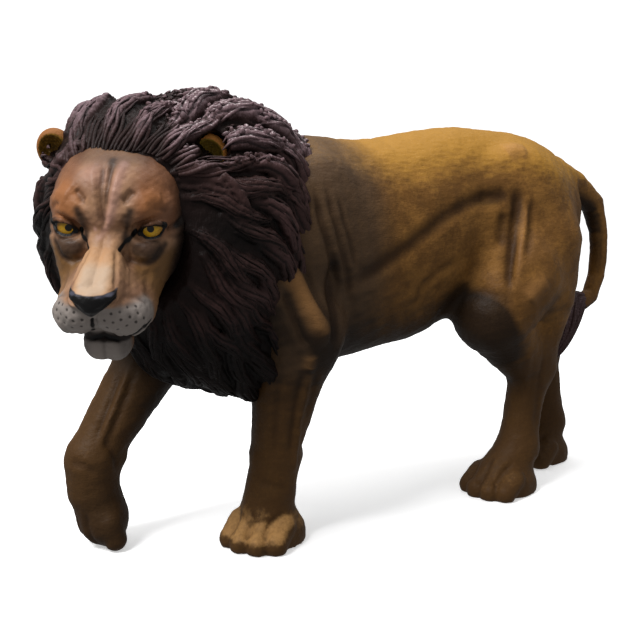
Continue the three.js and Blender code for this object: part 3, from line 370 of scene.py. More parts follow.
def crease(points, line, width, height):
    """A groove, or a ridge where height is above zero, along a line on the skin. It fades at its ends."""
    line = np.array(line, float)
    near = ((points > line.min(0) - 3 * width) & (points < line.max(0) + 3 * width)).all(1)
    out = np.zeros(len(points))
    away, along = to_line(points[near], line, np.zeros(len(line)))
    out[near] = height * np.exp(-(away / width) ** 2) * np.clip(6 * along * (1 - along) + 0.25, 0, 1)
    return out


print("halfway from 2 to 6, a soft step is at", smooth_step(4, 2, 6))

# %% From skins to pieces
def loops_of(faces):
    """The open edges of some squares, in order round each hole."""
    edges = np.concatenate([np.stack([faces[:, k], faces[:, (k + 1) % 4]], 1) for k in range(4)])
    back = {(b, a) for a, b in edges.tolist()}
    follows = {}
    for a, b in edges.tolist():
        if (a, b) not in back:
            follows.setdefault(a, []).append(b)
    loops = []
    while follows:
        start = here = next(iter(follows))
        loop = []
        while here in follows:
            loop.append(here)
            nexts = follows[here]
            step = nexts.pop()
            if not nexts:
                del follows[here]
            here = step
            if here == start:
                break
        loops.append(loop)
    return loops


def store_masks(mesh, masks):
    """Keeps numbers on a mesh's points, by name, for its paint to read."""
    for mask, values in masks.items():
        if mask in mesh.attributes:
            mesh.attributes.remove(mesh.attributes[mask])
        layer = mesh.attributes.new(mask, "FLOAT", "POINT")
        layer.data.foreach_set("value", values.astype(np.float32))


def make_piece(name, points, faces, normals, masks):
    """A closed Blender mesh of some of a skin's squares, with a flat cap where it was parted."""
    used, where = np.unique(faces, return_inverse=True)
    corners = where.reshape(faces.shape)
    shape, directions = points[used], normals[used]
    caps = []
    for loop in loops_of(corners):
        if len(loop) < 3:
            continue
        hub = len(shape)
        shape = np.vstack([shape, shape[loop].mean(0)])
        directions = np.vstack([directions, directions[loop].mean(0)])
        caps += [(loop[(i + 1) % len(loop)], loop[i], hub) for i in range(len(loop))]
    mesh = bpy.data.meshes.new(name)
    mesh.from_pydata(to_frame(shape).tolist(), [], corners.tolist() + caps)
    mesh.update()
    mesh.shade_smooth()
    spare = np.zeros(len(shape) - len(used))
    store_masks(mesh, {mask: np.concatenate([values[used], spare]) for mask, values in masks.items()})
    mesh.normals_split_custom_set_from_vertices(directions.tolist())
    return new_object(name, mesh)


print("round one square runs the loop", loops_of(np.array([[0, 1, 2, 3]])))

# %% [markdown]
# ## Node trees in Python
# Paints are shader trees, and Geometry Nodes sweep the strands of hair further down. Both kinds of tree are
# written here as Python sums. A small class wraps a socket, and + - * / on it add Math nodes. Any other
# node comes from one method, which sets what the node is first, and then its sockets.

# %% A wrapped socket
class Value:
    """A socket that Python's operators work on."""

    def __init__(self, nodes, socket):
        self.nodes, self.socket = nodes, socket

    def _maths(self, operation, a, b):
        return self.nodes.node("ShaderNodeMath", {"operation": operation}, [a, b])

    def __add__(self, other): return self._maths("ADD", self, other)
    def __radd__(self, other): return self._maths("ADD", other, self)
    def __sub__(self, other): return self._maths("SUBTRACT", self, other)
    def __rsub__(self, other): return self._maths("SUBTRACT", other, self)
    def __mul__(self, other): return self._maths("MULTIPLY", self, other)
    def __rmul__(self, other): return self._maths("MULTIPLY", other, self)
    def __truediv__(self, other): return self._maths("DIVIDE", self, other)
    def __rtruediv__(self, other): return self._maths("DIVIDE", other, self)

    def between(self, low, high):
        """0 below low, 1 above high, and a soft step from one to the other."""
        return self.nodes.node("ShaderNodeMapRange", {"interpolation_type": "SMOOTHSTEP"},
                               {"Value": self, "From Min": low, "From Max": high})


class Nodes:
    """A node tree whose nodes all come from one method."""

    def __init__(self, tree):
        self.tree = tree

    def node(self, kind, settings=None, inputs=(), output=0):
        node = self.tree.nodes.new(kind)
        for key, value in (settings or {}).items():
            setattr(node, key, value)
        pairs = inputs.items() if isinstance(inputs, dict) else enumerate(inputs)
        for key, value in pairs:
            if isinstance(value, Value):
                self.tree.links.new(value.socket, node.inputs[key])
            else:
                node.inputs[key].default_value = value
        return Value(self, node.outputs[output])


print("sums from the right:", ", ".join(name for name in vars(Value) if name.startswith("__r")))

# %% Paints
def rgb(text):
    """A paint's colour from its web number, in the linear numbers that shaders use."""
    values = [int(text[i:i + 2], 16) / 255 for i in (0, 2, 4)]
    return (*[v / 12.92 if v <= 0.04045 else ((v + 0.055) / 1.055) ** 2.4 for v in values], 1.0)


class Paint(Nodes):
    """A material. Its masks are the numbers that are stored on a piece's points."""

    def __init__(self, name, roughness=0.6, coat=0.0, specular=0.5):
        self.material = bpy.data.materials.new(name)
        self.material.use_nodes = True
        super().__init__(self.material.node_tree)
        self.shader = self.tree.nodes["Principled BSDF"]
        self.shader.inputs["Roughness"].default_value = roughness
        self.shader.inputs["Coat Weight"].default_value = coat
        self.shader.inputs["Coat Roughness"].default_value = 0.12
        self.shader.inputs["Specular IOR Level"].default_value = specular
        self.place = self.node("ShaderNodeTexCoord", output="Object")

    def mask(self, name):
        return self.node("ShaderNodeAttribute", {"attribute_name": name}, output="Fac")

    def noise(self, size, detail=3.0, roughness=0.55, stretch=(1, 1, 1)):
        """Noise with features of about a size in millimetres, from 0 to 1."""
        spread = self.node("ShaderNodeMapping", {}, {"Vector": self.place, "Scale": stretch})
        return self.node("ShaderNodeTexNoise", {}, {
            "Vector": spread, "Scale": 1 / (size * MM), "Detail": detail, "Roughness": roughness})

    def mix(self, first, second, share):
        """Two colours, as web numbers or mixed already, the second over the first."""
        first, second = (rgb(colour) if isinstance(colour, str) else colour for colour in (first, second))
        return self.node("ShaderNodeMix", {"data_type": "RGBA", "clamp_factor": True},
                         {0: share, 6: first, 7: second}, output=2)

    def base(self, first, second, share):
        self.colour = self.mix(first, second, share)

    def over(self, shade, share):
        """Lays a colour over what is there, as thickly as share says."""
        self.colour = self.mix(self.colour, shade, share)

    def lay(self, shade, reach, low, high, most=1.0):
        """Lays a colour over what is there, from nothing where reach is low to the most where it is high."""
        self.over(shade, reach.between(low, high) * most)

    def finish(self, roughness=None, height=None, depth=0.3):
        """Joins colour, roughness and bump to the shader, with the bump's depth in millimetres."""
        self.tree.links.new(self.colour.socket, self.shader.inputs["Base Color"])
        if roughness is not None:
            self.tree.links.new(roughness.socket, self.shader.inputs["Roughness"])
        if height is not None:
            bump = self.node("ShaderNodeBump", {}, {"Height": height, "Distance": depth * MM, "Strength": 1.0},
                             output="Normal")
            self.tree.links.new(bump.socket, self.shader.inputs["Normal"])
        print(self.material.name, "has", len(self.tree.nodes), "nodes")
        return self.material


def dress(piece, paint, node=None):
    """Gives a piece its paint and has it ride the lion's one body, in a casting's place if it has one."""
    piece.data.materials.clear()
    piece.data.materials.append(paint)
    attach(piece, "root")
    if node:
        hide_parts(node)
    print(piece.name, "has", len(piece.data.polygons), "faces")


print("mid grey is", rgb("808080"))

# %% [markdown]
# The figurine was base-coated nearly black, airbrushed brown from the sides and golden ochre from above, and its
# folds were left dark. In these paints the ochre on top is partly painted highlight, and the dark in folds, hollows
# and underneath partly painted shade. So each paint is a few colours, laid over each other by masks that say how far
# a spot faces up, how deep it lies in a fold, or how far it is from an eye. Noises break them up.

# %% The coat: dark base, brown sides, ochre from above with painted highlight, painted shade in folds and underneath
paint = Paint("airbrushed_coat", 0.55, specular=0.12)
mottle, speck, fine = paint.noise(13, 4), paint.noise(1.5, 3, 0.6), paint.noise(0.5, 2)
hair = paint.noise(1.3, 3, 0.6, stretch=(0.35, 1, 1.2))
loose, grain = (mottle - 0.5) * 0.6, speck - 0.5
paint.base("644420", "7E582A", (mottle + grain * 0.5).between(0.35, 0.7))
paint.lay("4A3A2C", paint.mask("brown") + loose * 0.4, 0.1, 0.9, 0.85)
# Ochre on the back and wherever the coat faces up: partly paint, partly painted highlight from above
paint.lay("A0742C", paint.mask("ochre") * 1.1 + loose * 0.45 + grain * 0.2, 0.12, 1.0)
# Lighter on raised ridges, tendons and veins: painted highlight
paint.over("A27444", paint.mask("ridge") * 0.42)
paint.lay("46301A", paint.mask("low") + loose * 0.4, 0.1, 1.0, 0.8)
# Lighter on the tops of the paws, most on the near forepaw: painted highlight
paint.lay("C8985E", paint.mask("paw") + loose * 1.1 + grain * 0.9, 0.1, 1.5, 0.85)
# Darker in the folds: painted shade
paint.lay("2A1A0E", paint.mask("fold") * 0.8 + loose * 0.3, 0.05, 1.1, 0.8)
# Darkest underneath, inside the legs, in the groin and under the mane: dark paint and painted shade
paint.lay("1A120C", paint.mask("dark") + loose * 0.4, 0.1, 1.0, 0.92)
coat_paint = paint.finish(0.55 + grain * 0.2, hair * 0.6 + fine * 0.3 + speck * 0.5, 0.35)

# %% The face: tan, brown at the sides, grey and white on the muzzle, painted shade round the eyes and in its creases, painted highlights on brow and nose
paint = Paint("painted_face", 0.5, specular=0.2)
mottle, speck = paint.noise(8, 4), paint.noise(1.1, 3)
loose = (mottle - 0.5) * 0.5 + (speck - 0.5) * 0.3
paint.base("83614A", "9C7658", mottle.between(0.35, 0.65))
for mask, shade, straying, low, high, most in [
        ("brown", "6B452F", 0.3, 0.1, 1.0, 0.85),
        ("warm", "9A6236", 0.3, 0.1, 1.0, 0.6),
        ("lit", "B58C80", 0.3, 0.05, 1.0, 0.7),
        ("pale", "AC8460", 0.3, 0.0, 1.0, 1.0),
        ("white", "AA9A88", 0.3, 0.1, 1.0, 0.85),
        ("grey", "857C76", 0.5, 0.2, 0.9, 1.0),
        ("cheek", "664722", 0.3, 0.1, 0.95, 0.9),
        ("fold", "3A241A", 0.3, 0.1, 1.0, 0.8),
        ("dark", "1C130F", 0.3, 0.08, 0.98, 1.0),
        ("dots", "1C1614", 0.0, 0.2, 0.7, 0.85),
        ("black", "0B0A0A", 0.1, 0.25, 0.75, 1.0),
        ("leather_highlight", "4A4A58", 0.0, 0.1, 1.0, 0.7)]:
    paint.lay(shade, paint.mask(mask) + loose * straying, low, high, most)
face_paint = paint.finish(0.5 - paint.mask("leather") * 0.12, speck * 0.6 + paint.noise(0.45, 2) * 0.4, 0.2)

# %% The mane and the tuft: dark brown, with painted highlights in grey where it stands out and faces up, and painted shade in grooves and hollows
paint = Paint("painted_mane", 0.5, specular=0.1)
mottle, speck, raised = paint.noise(7, 3), paint.noise(0.9, 3), paint.mask("raised")
strand = paint.noise(0.8, 2, 0.6, stretch=(1, 1, 0.3))
loose, grain = (mottle - 0.5) * 0.5, speck - 0.5
# Darker in the hollows between locks, lighter on their crests: painted shade and painted highlight
paint.base("1C1210", "3A2826", (raised + loose).between(0.15, 0.85))
paint.lay("4B3635", paint.mask("tone") * raised + loose, 0.35, 0.9, 0.7)
# Grey painted highlight on hair that stands out and faces up or lies high on the crown
facing_light = paint.mask("crown") * 0.85 + paint.mask("up") * 0.35
paint.lay("846E74", facing_light * raised + grain * 1.1, 0.3, 1.25, 0.65)
# Light grey painted highlights on the tops of the crown's wool
paint.lay("C0B4B4", paint.mask("wool") * raised + grain * 1.8, 0.8, 1.35, 0.9)
# Darker in the grooves between strands: painted shade
paint.lay("0B0807", paint.mask("groove"), 0.2, 1.0, 0.8)
# Near black low on the mane, where it faces down and in the hollows by the ears: dark paint and painted shade
paint.lay("0A0807", paint.mask("deep") + loose * 0.6, 0.15, 1.0, 0.92)
mane_paint = paint.finish(0.46 + grain * 0.2, strand * 0.6 + speck * 0.5, 0.35)

# %% The eyes: yellow with brown streaks, by degrees from the middle of the pupil
PUPIL_EDGE, IRIS_EDGE = (12, 15), (42, 50)
paint = Paint("eye_enamel", 0.2, coat=0.25, specular=0.2)
angle = paint.mask("off_gaze")
paint.base("C79A1E", "8A5A18", (angle / 45 + (paint.noise(0.5, 2) - 0.5) * 0.7).between(0.4, 1.1))
paint.over("050404", 1 - angle.between(*PUPIL_EDGE))
paint.lay("120B07", angle, *IRIS_EDGE)
paint.over("0C0806", paint.mask("lid_shade") * 0.85)
eye_paint = paint.finish()

# %% The ears: a pale rim round a speckled cup, lighter on the near ear as painted light
paint = Paint("painted_ear", 0.6, specular=0.15)
speck, near = paint.noise(0.9, 3), paint.mask("near")
grain = speck - 0.5
paint.base("5A4214", "86601C", speck.between(0.35, 0.65))
# The near ear is lighter and its rim brighter: painted light, where the key light reaches it
paint.over("B89A3C", near * 0.6)
paint.lay(paint.mix("8A5A30", "F0A050", near), paint.mask("rim") + grain * 0.5, 0.3, 0.8)
paint.lay("D8C8A0", paint.mask("cup") + grain * 2.2, 1.25, 1.6, 0.85)
paint.lay("2A1C14", paint.mask("low") + grain * 0.4, 0.3, 0.9, 0.9)
ear_paint = paint.finish(0.6 + grain * 0.1, speck, 0.3)

# %% [markdown]
# ## The body
# The body casting is built in the order of an armature: barrel, neck, shoulders and haunches first, then
# the legs, the paws and the tail. The sizes are the same as in the castings, so that the skin lies on them.

# %% Sizes of the body
WITHERS, LOIN, CROUP = 165.5, 169.5, 167.0
CHEST_DEPTH, LOIN_DEPTH, RUMP_DEPTH = 92.0, 84.0, 67.0
CHEST_WIDTH, LOIN_WIDTH, RUMP_WIDTH = 64.0, 57.0, 53.0
SHOULDER_X, TRUNK_LENGTH = -50.0, 130.0
HIP_X = SHOULDER_X + TRUNK_LENGTH
TRACK = 15.0
ELBOW, STIFLE, HOCK, WRIST = 86.0, 88.0, 58.0, 38.0
FOREPAW_X = {-1: -61.5, 1: -121.7}
HINDPAW_X = {-1: 64.5, 1: 113.0}
PAW_WIDTH, PAW_HEIGHT, TOE_RADIUS = 28.5, 17.0, 5.2
TAIL_ROOT_X, TAIL_REACH = 102.0, 136.5
TAIL_ROOT_Z, TUFT_Z = CROUP - 20, HOCK + 27

HEAD_TURN, HEAD_BOW, HEAD_TILT = 57.0, 16.0, 2.0
head_grid = Grid((-132.8, -40.4, 134.5), turned(180 + HEAD_TURN, HEAD_BOW, -HEAD_TILT))


def head_point(forward, left, up):
    """A place on the head's grid, as a place in the world."""
    return head_grid.outside(np.array([forward, left, up]))


print("the head's grid starts between the eyes, at", head_grid.origin)

# %% Barrel, neck, shoulders and haunches
body_clay = Clay()


def ring(share, top, depth, width):
    """An oval of the barrel, a share of the way from the shoulders to the hips."""
    return (SHOULDER_X + share * TRUNK_LENGTH, top - depth / 2, width / 2, depth / 2)


body_clay.loft([
    ring(-0.17, WITHERS - 24, 0.48 * CHEST_DEPTH, 0.44 * CHEST_WIDTH),
    ring(-0.08, WITHERS - 9, 0.82 * CHEST_DEPTH, 0.78 * CHEST_WIDTH),
    ring(0.04, WITHERS - 4, 0.98 * CHEST_DEPTH, 0.95 * CHEST_WIDTH),
    ring(0.19, WITHERS - 1.6, 1.01 * CHEST_DEPTH, 1.01 * CHEST_WIDTH),
    ring(0.385, WITHERS, 0.99 * CHEST_DEPTH, CHEST_WIDTH),
    ring(0.54, LOIN - 1, 1.08 * LOIN_DEPTH, 1.08 * LOIN_WIDTH),
    ring(0.68, LOIN + 1, LOIN_DEPTH, LOIN_WIDTH),
    ring(0.83, LOIN, 1.13 * RUMP_DEPTH, 1.02 * RUMP_WIDTH),
    ring(1.0, CROUP, RUMP_DEPTH, RUMP_WIDTH),
    ring(1.12, CROUP - 6, 0.84 * RUMP_DEPTH, 0.8 * RUMP_WIDTH),
    ring(1.23, CROUP - 17, 0.6 * RUMP_DEPTH, 0.53 * RUMP_WIDTH),
])
NECK_Z = WITHERS - 35
body_clay.limb([(SHOULDER_X + 10, 0, NECK_Z), (SHOULDER_X - 35, -4, NECK_Z), head_point(-40, 0, 5)],
               [33.6, 31.2, 25.8], 12)
for side, hip_shift, hip_tilt in ((-1, -11, -12), (1, 2, 6)):
    y = side * (CHEST_WIDTH / 2 - 8.5)
    body_clay.ball((SHOULDER_X, y, WITHERS - 41), (16, 11, 34), 10, tilt=22)
    body_clay.limb([(SHOULDER_X - 14, y * 1.06, ELBOW + 20), (SHOULDER_X + 6, y * 1.06, ELBOW)], [14, 12], 8)
    body_clay.ball((HIP_X + hip_shift, side * (RUMP_WIDTH / 2 - 9), CROUP - 45), (28.5, 15, 38), 10, tilt=hip_tilt)
print("trunk:", len(body_clay.steps), "shapes")

# %% The forelegs, and a standing paw
TOE_SPACING = 0.13 * PAW_WIDTH
toe_gaps = []


def add_foreleg(side, shoulder, elbow, wrist):
    shoulder, elbow, wrist = np.array([shoulder, elbow, wrist])
    middle = elbow + (wrist - elbow) * 0.42
    body_clay.limb([shoulder, elbow, middle, wrist], [16.7, 15.7, 13, 10], 6)
    # The elbow's knob, and the small pad behind the wrist
    body_clay.ball(elbow + (9, side * 3, 2), (5.5, 5.5, 7), 6)
    body_clay.ball(wrist + (9.5, -side, -2), (3.4, 4.2, 4.6), 3)


def add_paw(x, y, length, turn):
    """A standing paw with four toes, turned about the leg, and the lines of the gaps between them."""
    sin, cos = math.sin(math.radians(turn)), math.cos(math.radians(turn))

    def on_paw(forward, across, z):
        return (x - forward * cos - across * sin, y - forward * sin + across * cos, z)
    body_clay.ball((x + 1, y, PAW_HEIGHT * 0.16), (length / 2, PAW_WIDTH / 2, PAW_HEIGHT * 0.84), 4)
    for back, across in ((3.2, -2.7), (0, -1), (0, 1), (3.2, 2.7)):
        forward, aside = length / 2 - 3 - back, across * TOE_SPACING
        body_clay.limb([on_paw(forward, aside, 3.4), on_paw(forward - 7.5, aside, 8.5)],
                       [TOE_RADIUS, TOE_RADIUS * 0.95], 1.2)
    for back, across in ((1.6, -1.85), (0, 0), (1.6, 1.85)):
        tip, aside = length / 2 - back, across * TOE_SPACING
        toe_gaps.append([on_paw(tip - behind, aside, z) for behind, z in ((13, 15), (7, 12), (1.5, 8), (0, 2))])


x, shoulder_y = FOREPAW_X[-1], CHEST_WIDTH / 2 - 9
add_foreleg(-1, (SHOULDER_X, -shoulder_y, ELBOW + 6), (SHOULDER_X - 2.4, 2 - shoulder_y, ELBOW - 10),
            (x + 5, -TRACK, WRIST))
body_clay.limb([(x + 5, -TRACK, WRIST - 4), (x + 1, -TRACK, 13.6)], [10, 11], 4)
add_paw(x, -TRACK, 33, 36)

x = FOREPAW_X[1]
add_foreleg(1, (SHOULDER_X - 24, shoulder_y, ELBOW + 14), (SHOULDER_X - 38, shoulder_y - 1, ELBOW),
            (x - 2, TRACK, WRIST + 1))
body_clay.limb([(x - 3, TRACK, WRIST - 3), (x - 2.5, TRACK, 24), (x + 1, TRACK, 12)], [10.6, 10.6, 10], 5)
body_clay.ball((x + 0.5, TRACK, 11), (9, 13.4, 10), 4)
for across in (-2.5, -0.85, 0.85, 2.5):
    toe_x, toe_y = x + 1.5 + abs(across) * 0.6, TRACK + across * TOE_SPACING
    body_clay.limb([(toe_x - 2.4, toe_y, 12), (toe_x, toe_y, 4.47)], [0.9 * TOE_RADIUS, 0.86 * TOE_RADIUS], 1.2)
for across in (-1.68, 0, 1.68):
    toe_y = TRACK + across * TOE_SPACING
    toe_gaps.append([(x - 7, toe_y, 17), (x - 6.5, toe_y, 11), (x - 5, toe_y, 6), (x - 3, toe_y, 2)])
print("trunk and forelegs:", len(body_clay.steps), "shapes")

# %% The hind legs and the tail
for side, hip, stifle_x, hock_back, lean in (
        (-1, HIP_X - 18, HINDPAW_X[-1] - 13.5, 14, 9.4), (1, HIP_X + 4, HINDPAW_X[1] - 31, 1, 6)):
    x, y, thigh_y = HINDPAW_X[side], side * TRACK, side * (RUMP_WIDTH / 2 - 4.5)
    hock_x = x + hock_back
    body_clay.limb([(hip, thigh_y, STIFLE + 17), (stifle_x, thigh_y, STIFLE),
                    (stifle_x + 0.45 * (hock_x - stifle_x), y * 1.3, (STIFLE + HOCK) / 2),
                    (hock_x, y * 1.15, HOCK)], [22, 18.8, 13.6, 10.35], 8)
    ham_x = HIP_X + 4 + 0.3 * (hock_x - 2 - HIP_X)
    body_clay.limb([(HIP_X + 1, thigh_y * 0.9, STIFLE + 30), (ham_x, thigh_y * 0.9, STIFLE + 6),
                    (hock_x + 3, y * 1.15, HOCK + 6)], [17, 14, 8.5], 8)
    body_clay.limb([(hock_x, y * 1.1, HOCK - 1), ((hock_x + x + lean) / 2, y, 38), (x + lean, y, 20)],
                   [9.5, 8.8, 9.4], 4)
    body_clay.limb([(x + lean, y, 20), (x, y, 10)], [9.5, 9.9], 4)
    add_paw(x, y, 34, 14)

TAIL = [  # place along the lion, place across it, share of the way down to the tuft, radius
    (TAIL_ROOT_X, 0, 0, 10.3), (TAIL_ROOT_X + 14, 0, 0.06, 7.7), (TAIL_REACH - 6, 0, 0.21, 5.6),
    (TAIL_REACH - 1, 0, 0.43, 4.6), (TAIL_REACH, 0, 0.62, 4.3), (TAIL_REACH - 1, 0, 0.8, 4.2),
    (TAIL_REACH - 7, -2, 0.96, 4.1), (TAIL_REACH - 15, -4, 1, 4.0)]
TAIL_DROP = TUFT_Z - TAIL_ROOT_Z
body_clay.limb([(x, y, TAIL_ROOT_Z + TAIL_DROP * share) for x, y, share, _ in TAIL], [row[-1] for row in TAIL], 5)
print("body clay:", len(body_clay.steps), "shapes, and", len(toe_gaps), "gaps between toes")

# %% [markdown]
# ## Folds, tendons and veins
# The photograph shows loose folds behind the shoulder, a long slanting crease on the flank, a hollow before
# the hip, two tendons down the thigh and veins on the forearms. Each is a line drawn on the clay where the
# camera sees it. The skin sinks or rises along it, and the trunk's lines are worked on both sides. The gaps
# between the toes are lines as well, laid down with the paws.

# %% Lines on the skin
FOLDS = [
    # pixels of the line, width, height in millimetres
    ([(314, 190), (322, 222), (331, 252), (338, 285), (340, 305)], 1.7, -1.5),
    ([(327, 188), (334, 215), (342, 245), (348, 275), (350, 300)], 1.5, -1.3),
    ([(338, 196), (345, 222), (352, 246), (356, 268)], 1.3, -1.0),
    ([(303, 178), (307, 205), (311, 232)], 1.4, -0.8),
    ([(507, 197), (484, 198), (466, 204), (445, 217), (430, 230),
      (410, 246), (392, 258), (370, 273), (352, 284)], 3.3, -1.4),
    ([(508, 192), (496, 196), (480, 198)], 3.4, -1.2),
    ([(504, 212), (502, 228), (500, 246)], 2.4, -1.3),
    ([(519, 188), (517, 214), (514, 240), (511, 264), (510, 290)], 3.0, -2.1),
    ([(527, 203), (524, 228), (520, 252), (515, 288)], 2.2, 1.5),
    ([(533, 200), (530, 230), (526, 258)], 2.0, -1.1),
    ([(505, 152), (516, 149), (527, 152)], 4.5, 1.4),
    ([(455, 262), (437, 272), (420, 290), (412, 310)], 2.0, -0.7),
    ([(442, 312), (462, 298), (482, 291), (502, 297), (516, 306)], 3.2, -0.9),
    ([(527, 300), (537, 288), (548, 280)], 4.0, 1.3),
    ([(336, 262), (331, 290), (336, 318), (334, 345)], 3.2, -2.2),
    ([(287, 268), (296, 284), (306, 304), (318, 326), (328, 344)], 4.2, 2.0),
    ([(300, 262), (311, 284), (321, 305), (331, 322)], 1.8, -1.4),
    ([(283, 290), (291, 310), (300, 332), (306, 348)], 1.8, -1.4),
]
VEINS = [
    ([(310, 372), (305, 396), (299, 420), (296, 446), (294, 470)], 1.3, 1.0),
    ([(302, 374), (297, 398), (293, 424), (290, 452)], 1.5, -0.9),
    ([(316, 374), (312, 396), (306, 420)], 1.3, -0.7),
    ([(280, 372), (277, 400), (275, 430), (273, 460)], 1.8, -0.7),
    ([(311, 356), (310, 364), (309, 372)], 2.6, 1.5),
    ([(128, 372), (120, 394), (110, 418), (101, 440)], 1.3, 0.9),
    ([(121, 372), (113, 394), (104, 418), (96, 440)], 1.5, -0.9),
    ([(136, 368), (127, 394), (117, 420), (106, 446)], 1.5, -0.8),
    ([(105, 440), (112, 452), (117, 468)], 1.6, -0.8),
    ([(70, 462), (84, 466), (98, 472)], 1.8, -0.7),
    ([(258, 480), (272, 484), (288, 488)], 1.8, -0.6),
    ([(544, 352), (540, 376), (538, 400), (536, 430)], 1.8, -0.7),
    ([(529, 352), (526, 380), (524, 410)], 1.8, 0.7),
]
fold_lines = [(body_clay.seen(line), width, height, True) for line, width, height in FOLDS]
fold_lines += [(body_clay.seen(line), width, height, False) for line, width, height in VEINS]
fold_lines += [(body_clay.settle(np.array(line, float)), 1.2, -0.9, False) for line in toe_gaps]
print(len(fold_lines), "lines on the body")


# %% The body's skin
WAVES = 9


def soft_waves(points, size, seed):
    """A cheap smooth noise: a few waves in scattered directions."""
    random = np.random.default_rng(seed)
    total = np.zeros(len(points))
    for _ in range(WAVES):
        direction = random.normal(size=3)
        direction *= 2 * math.pi / (size * random.uniform(0.7, 1.6) * np.linalg.norm(direction))
        total += np.sin(points @ direction + random.uniform(0, 7))
    return total / 3


def fold_relief(points):
    total = np.zeros(len(points))
    for line, width, height, both_sides in fold_lines:
        total += crease(points, line, width, height)
        if both_sides:
            total += crease(points, line * (1, -1, 1), width, height)
    return total


def body_relief(points, directions):
    flank = smooth_step(points[:, 2], 70, 95) * smooth_step(points[:, 0], -45, -30)
    ribs = 0.16 * np.sin(points[:, 0] * 0.62 + points[:, 2] * 0.18) * flank * smooth_step(-points[:, 0], -40, 0)
    fur = 0.12 * soft_waves(points, 9, seed=4) + 0.07 * soft_waves(points, 3.6, seed=5)
    return fold_relief(points) + ribs + fur


BODY_CELL = 1.0
body_points, body_faces, body_normals = skin(
    body_clay, (-150, -62, -3), (150, 62, 180), BODY_CELL, body_relief, on_ground=True)
print("body skin:", len(body_points), "points")

# %% [markdown]
# ## Paint masks for the body
# An airbrush reaches what faces it. So the masks that the coat asks for are sums of how far a spot faces up, how high
# it lies and how deep it sits in a fold: the ochre on top is partly painted highlight, and the dark in folds and
# underneath is partly painted shade. A few patches of painted shade, such as the groin, are placed where the camera
# sees them. The numbers are stored on the skin's points by name, where the paint's nodes read them.

# %% Masks
GROIN_AND_ELBOW = [
    # pixel of a patch of painted shade, its size in millimetres and its share of the dark
    ((462, 312), 10, 1.2), ((478, 314), 8, 1.3), ((497, 322), 8, 1.2), ((490, 340), 10, 1.1), ((500, 354), 8, 0.8),
    ((330, 345), 10, 0.6)]


def spot(points, centre, size):
    """1 at a place, fading to 0 over a size in millimetres."""
    return np.exp(-(((points - np.array(centre, float)) / np.array(size, float)) ** 2).sum(1))


def body_masks(points, normals):
    x, y, height = points.T
    up, folds = normals[:, 2], fold_relief(points)
    # The ochre is lighter on top and on the near side of the rump: partly painted highlight
    on_rump = 0.25 * spot(points, (100, -20, 150), (30, 40, 26))
    ochre = smooth_step(up + on_rump, 0.05, 0.9) * smooth_step(height, 112, 166)
    brown = smooth_step(-x, -5, 32) * smooth_step(height, 60, 80)
    ochre *= 1 - 0.7 * brown
    # The dark: painted shade underneath, inside the legs, under the mane, in the groin and behind the elbow, inside
    # the tail and on the far forepaw, over dark paint
    under = smooth_step(-up, -0.1, 0.8) * smooth_step(height, 20, 75)
    inner_leg = smooth_step(-y * np.sign(normals[:, 1]), -30, -6) * smooth_step(-height, -105, -70)
    dark = 0.75 * under + 0.35 * inner_leg + 0.6 * spot(points, (-72, 0, 88), (46, 60, 40))
    folded = points * (1, -1, 1)
    for pixel, size, share in GROIN_AND_ELBOW:
        place = body_clay.seen([pixel])[0]
        dark += share * np.maximum(*[spot(side, place, np.full(3, size)) for side in (points, folded)])
    inside_tail = smooth_step(x, 112, 122) * smooth_step(-normals[:, 0], -0.25, 0.5)
    dark += 0.5 * inside_tail * smooth_step(height, 92, 108)
    dark += 0.4 * spot(points, (-121, 15, 12), (20, 20, 18))
    # Painted highlight on the tops of the paws, strongest on the near forepaw
    near_paw = 0.12 + 1.15 * spot(points, (-66, -20, 10), (30, 24, 20))
    paw = smooth_step(-height, -24, -12) * smooth_step(up, 0.0, 0.75) * near_paw
    # fold darkens the creases as painted shade, and ridge lightens raised lines as painted highlight
    return {
        "ochre": ochre, "brown": brown, "dark": np.clip(dark, 0, 1), "paw": np.clip(paw, 0, 1),
        "fold": np.clip(-folds, 0, 2), "ridge": np.clip(folds, 0, 2), "low": smooth_step(-height, -92, -56)}


masks = body_masks(body_points, body_normals)
print({mask: round(float(values.mean()), 2) for mask, values in masks.items()})

# %% One skin, parted where the castings part
FORELEG_SEAM, HINDLEG_SEAM = WITHERS - CHEST_DEPTH - 2, LOIN - LOIN_DEPTH - 6
TAIL_SEAM_X = TAIL_ROOT_X + 11.5
centres = body_points[body_faces].mean(1)
on_left = centres[:, 1] < 0
x, z = centres[:, 0], centres[:, 2]
casting = np.full(len(centres), "trunk_casting", dtype=object)
fore, hind = (x < 10) & (z < FORELEG_SEAM), (x > 10) & (z < HINDLEG_SEAM)
for leg, belongs in (("foreleg", fore), ("hindleg", hind)):
    casting[belongs & on_left], casting[belongs & ~on_left] = leg + "_left", leg + "_right"
casting[(x > TAIL_SEAM_X) & (z > HINDLEG_SEAM)] = "tail_casting"
for name in sorted(set(casting)):
    part = make_piece(name.replace("_casting", "") + "_skin", body_points, body_faces[casting == name],
                      body_normals, masks)
    dress(part, coat_paint, name)

# %% [markdown]
# ## The head
# The head has its own grid: forward along the nose, left and up, from a point between the eyes. Most shapes
# are worked on both sides at once. Broad bones come first, then the flat nose bridge, the brows, the lids
# round the eyes, the two whisker pads and the chin. The face is netted twice as finely as the body.

# %% The face in clay
EYE_CENTRE = np.array([-6.4, 14.4, -1.3])
EYE_RADIUS = 5.4


def on_eye(forward, left, up, away=0.0):
    """A point over the eyeball in a direction from its middle."""
    direction = np.array([forward, left, up])
    return EYE_CENTRE + direction / np.linalg.norm(direction) * (EYE_RADIUS + away)


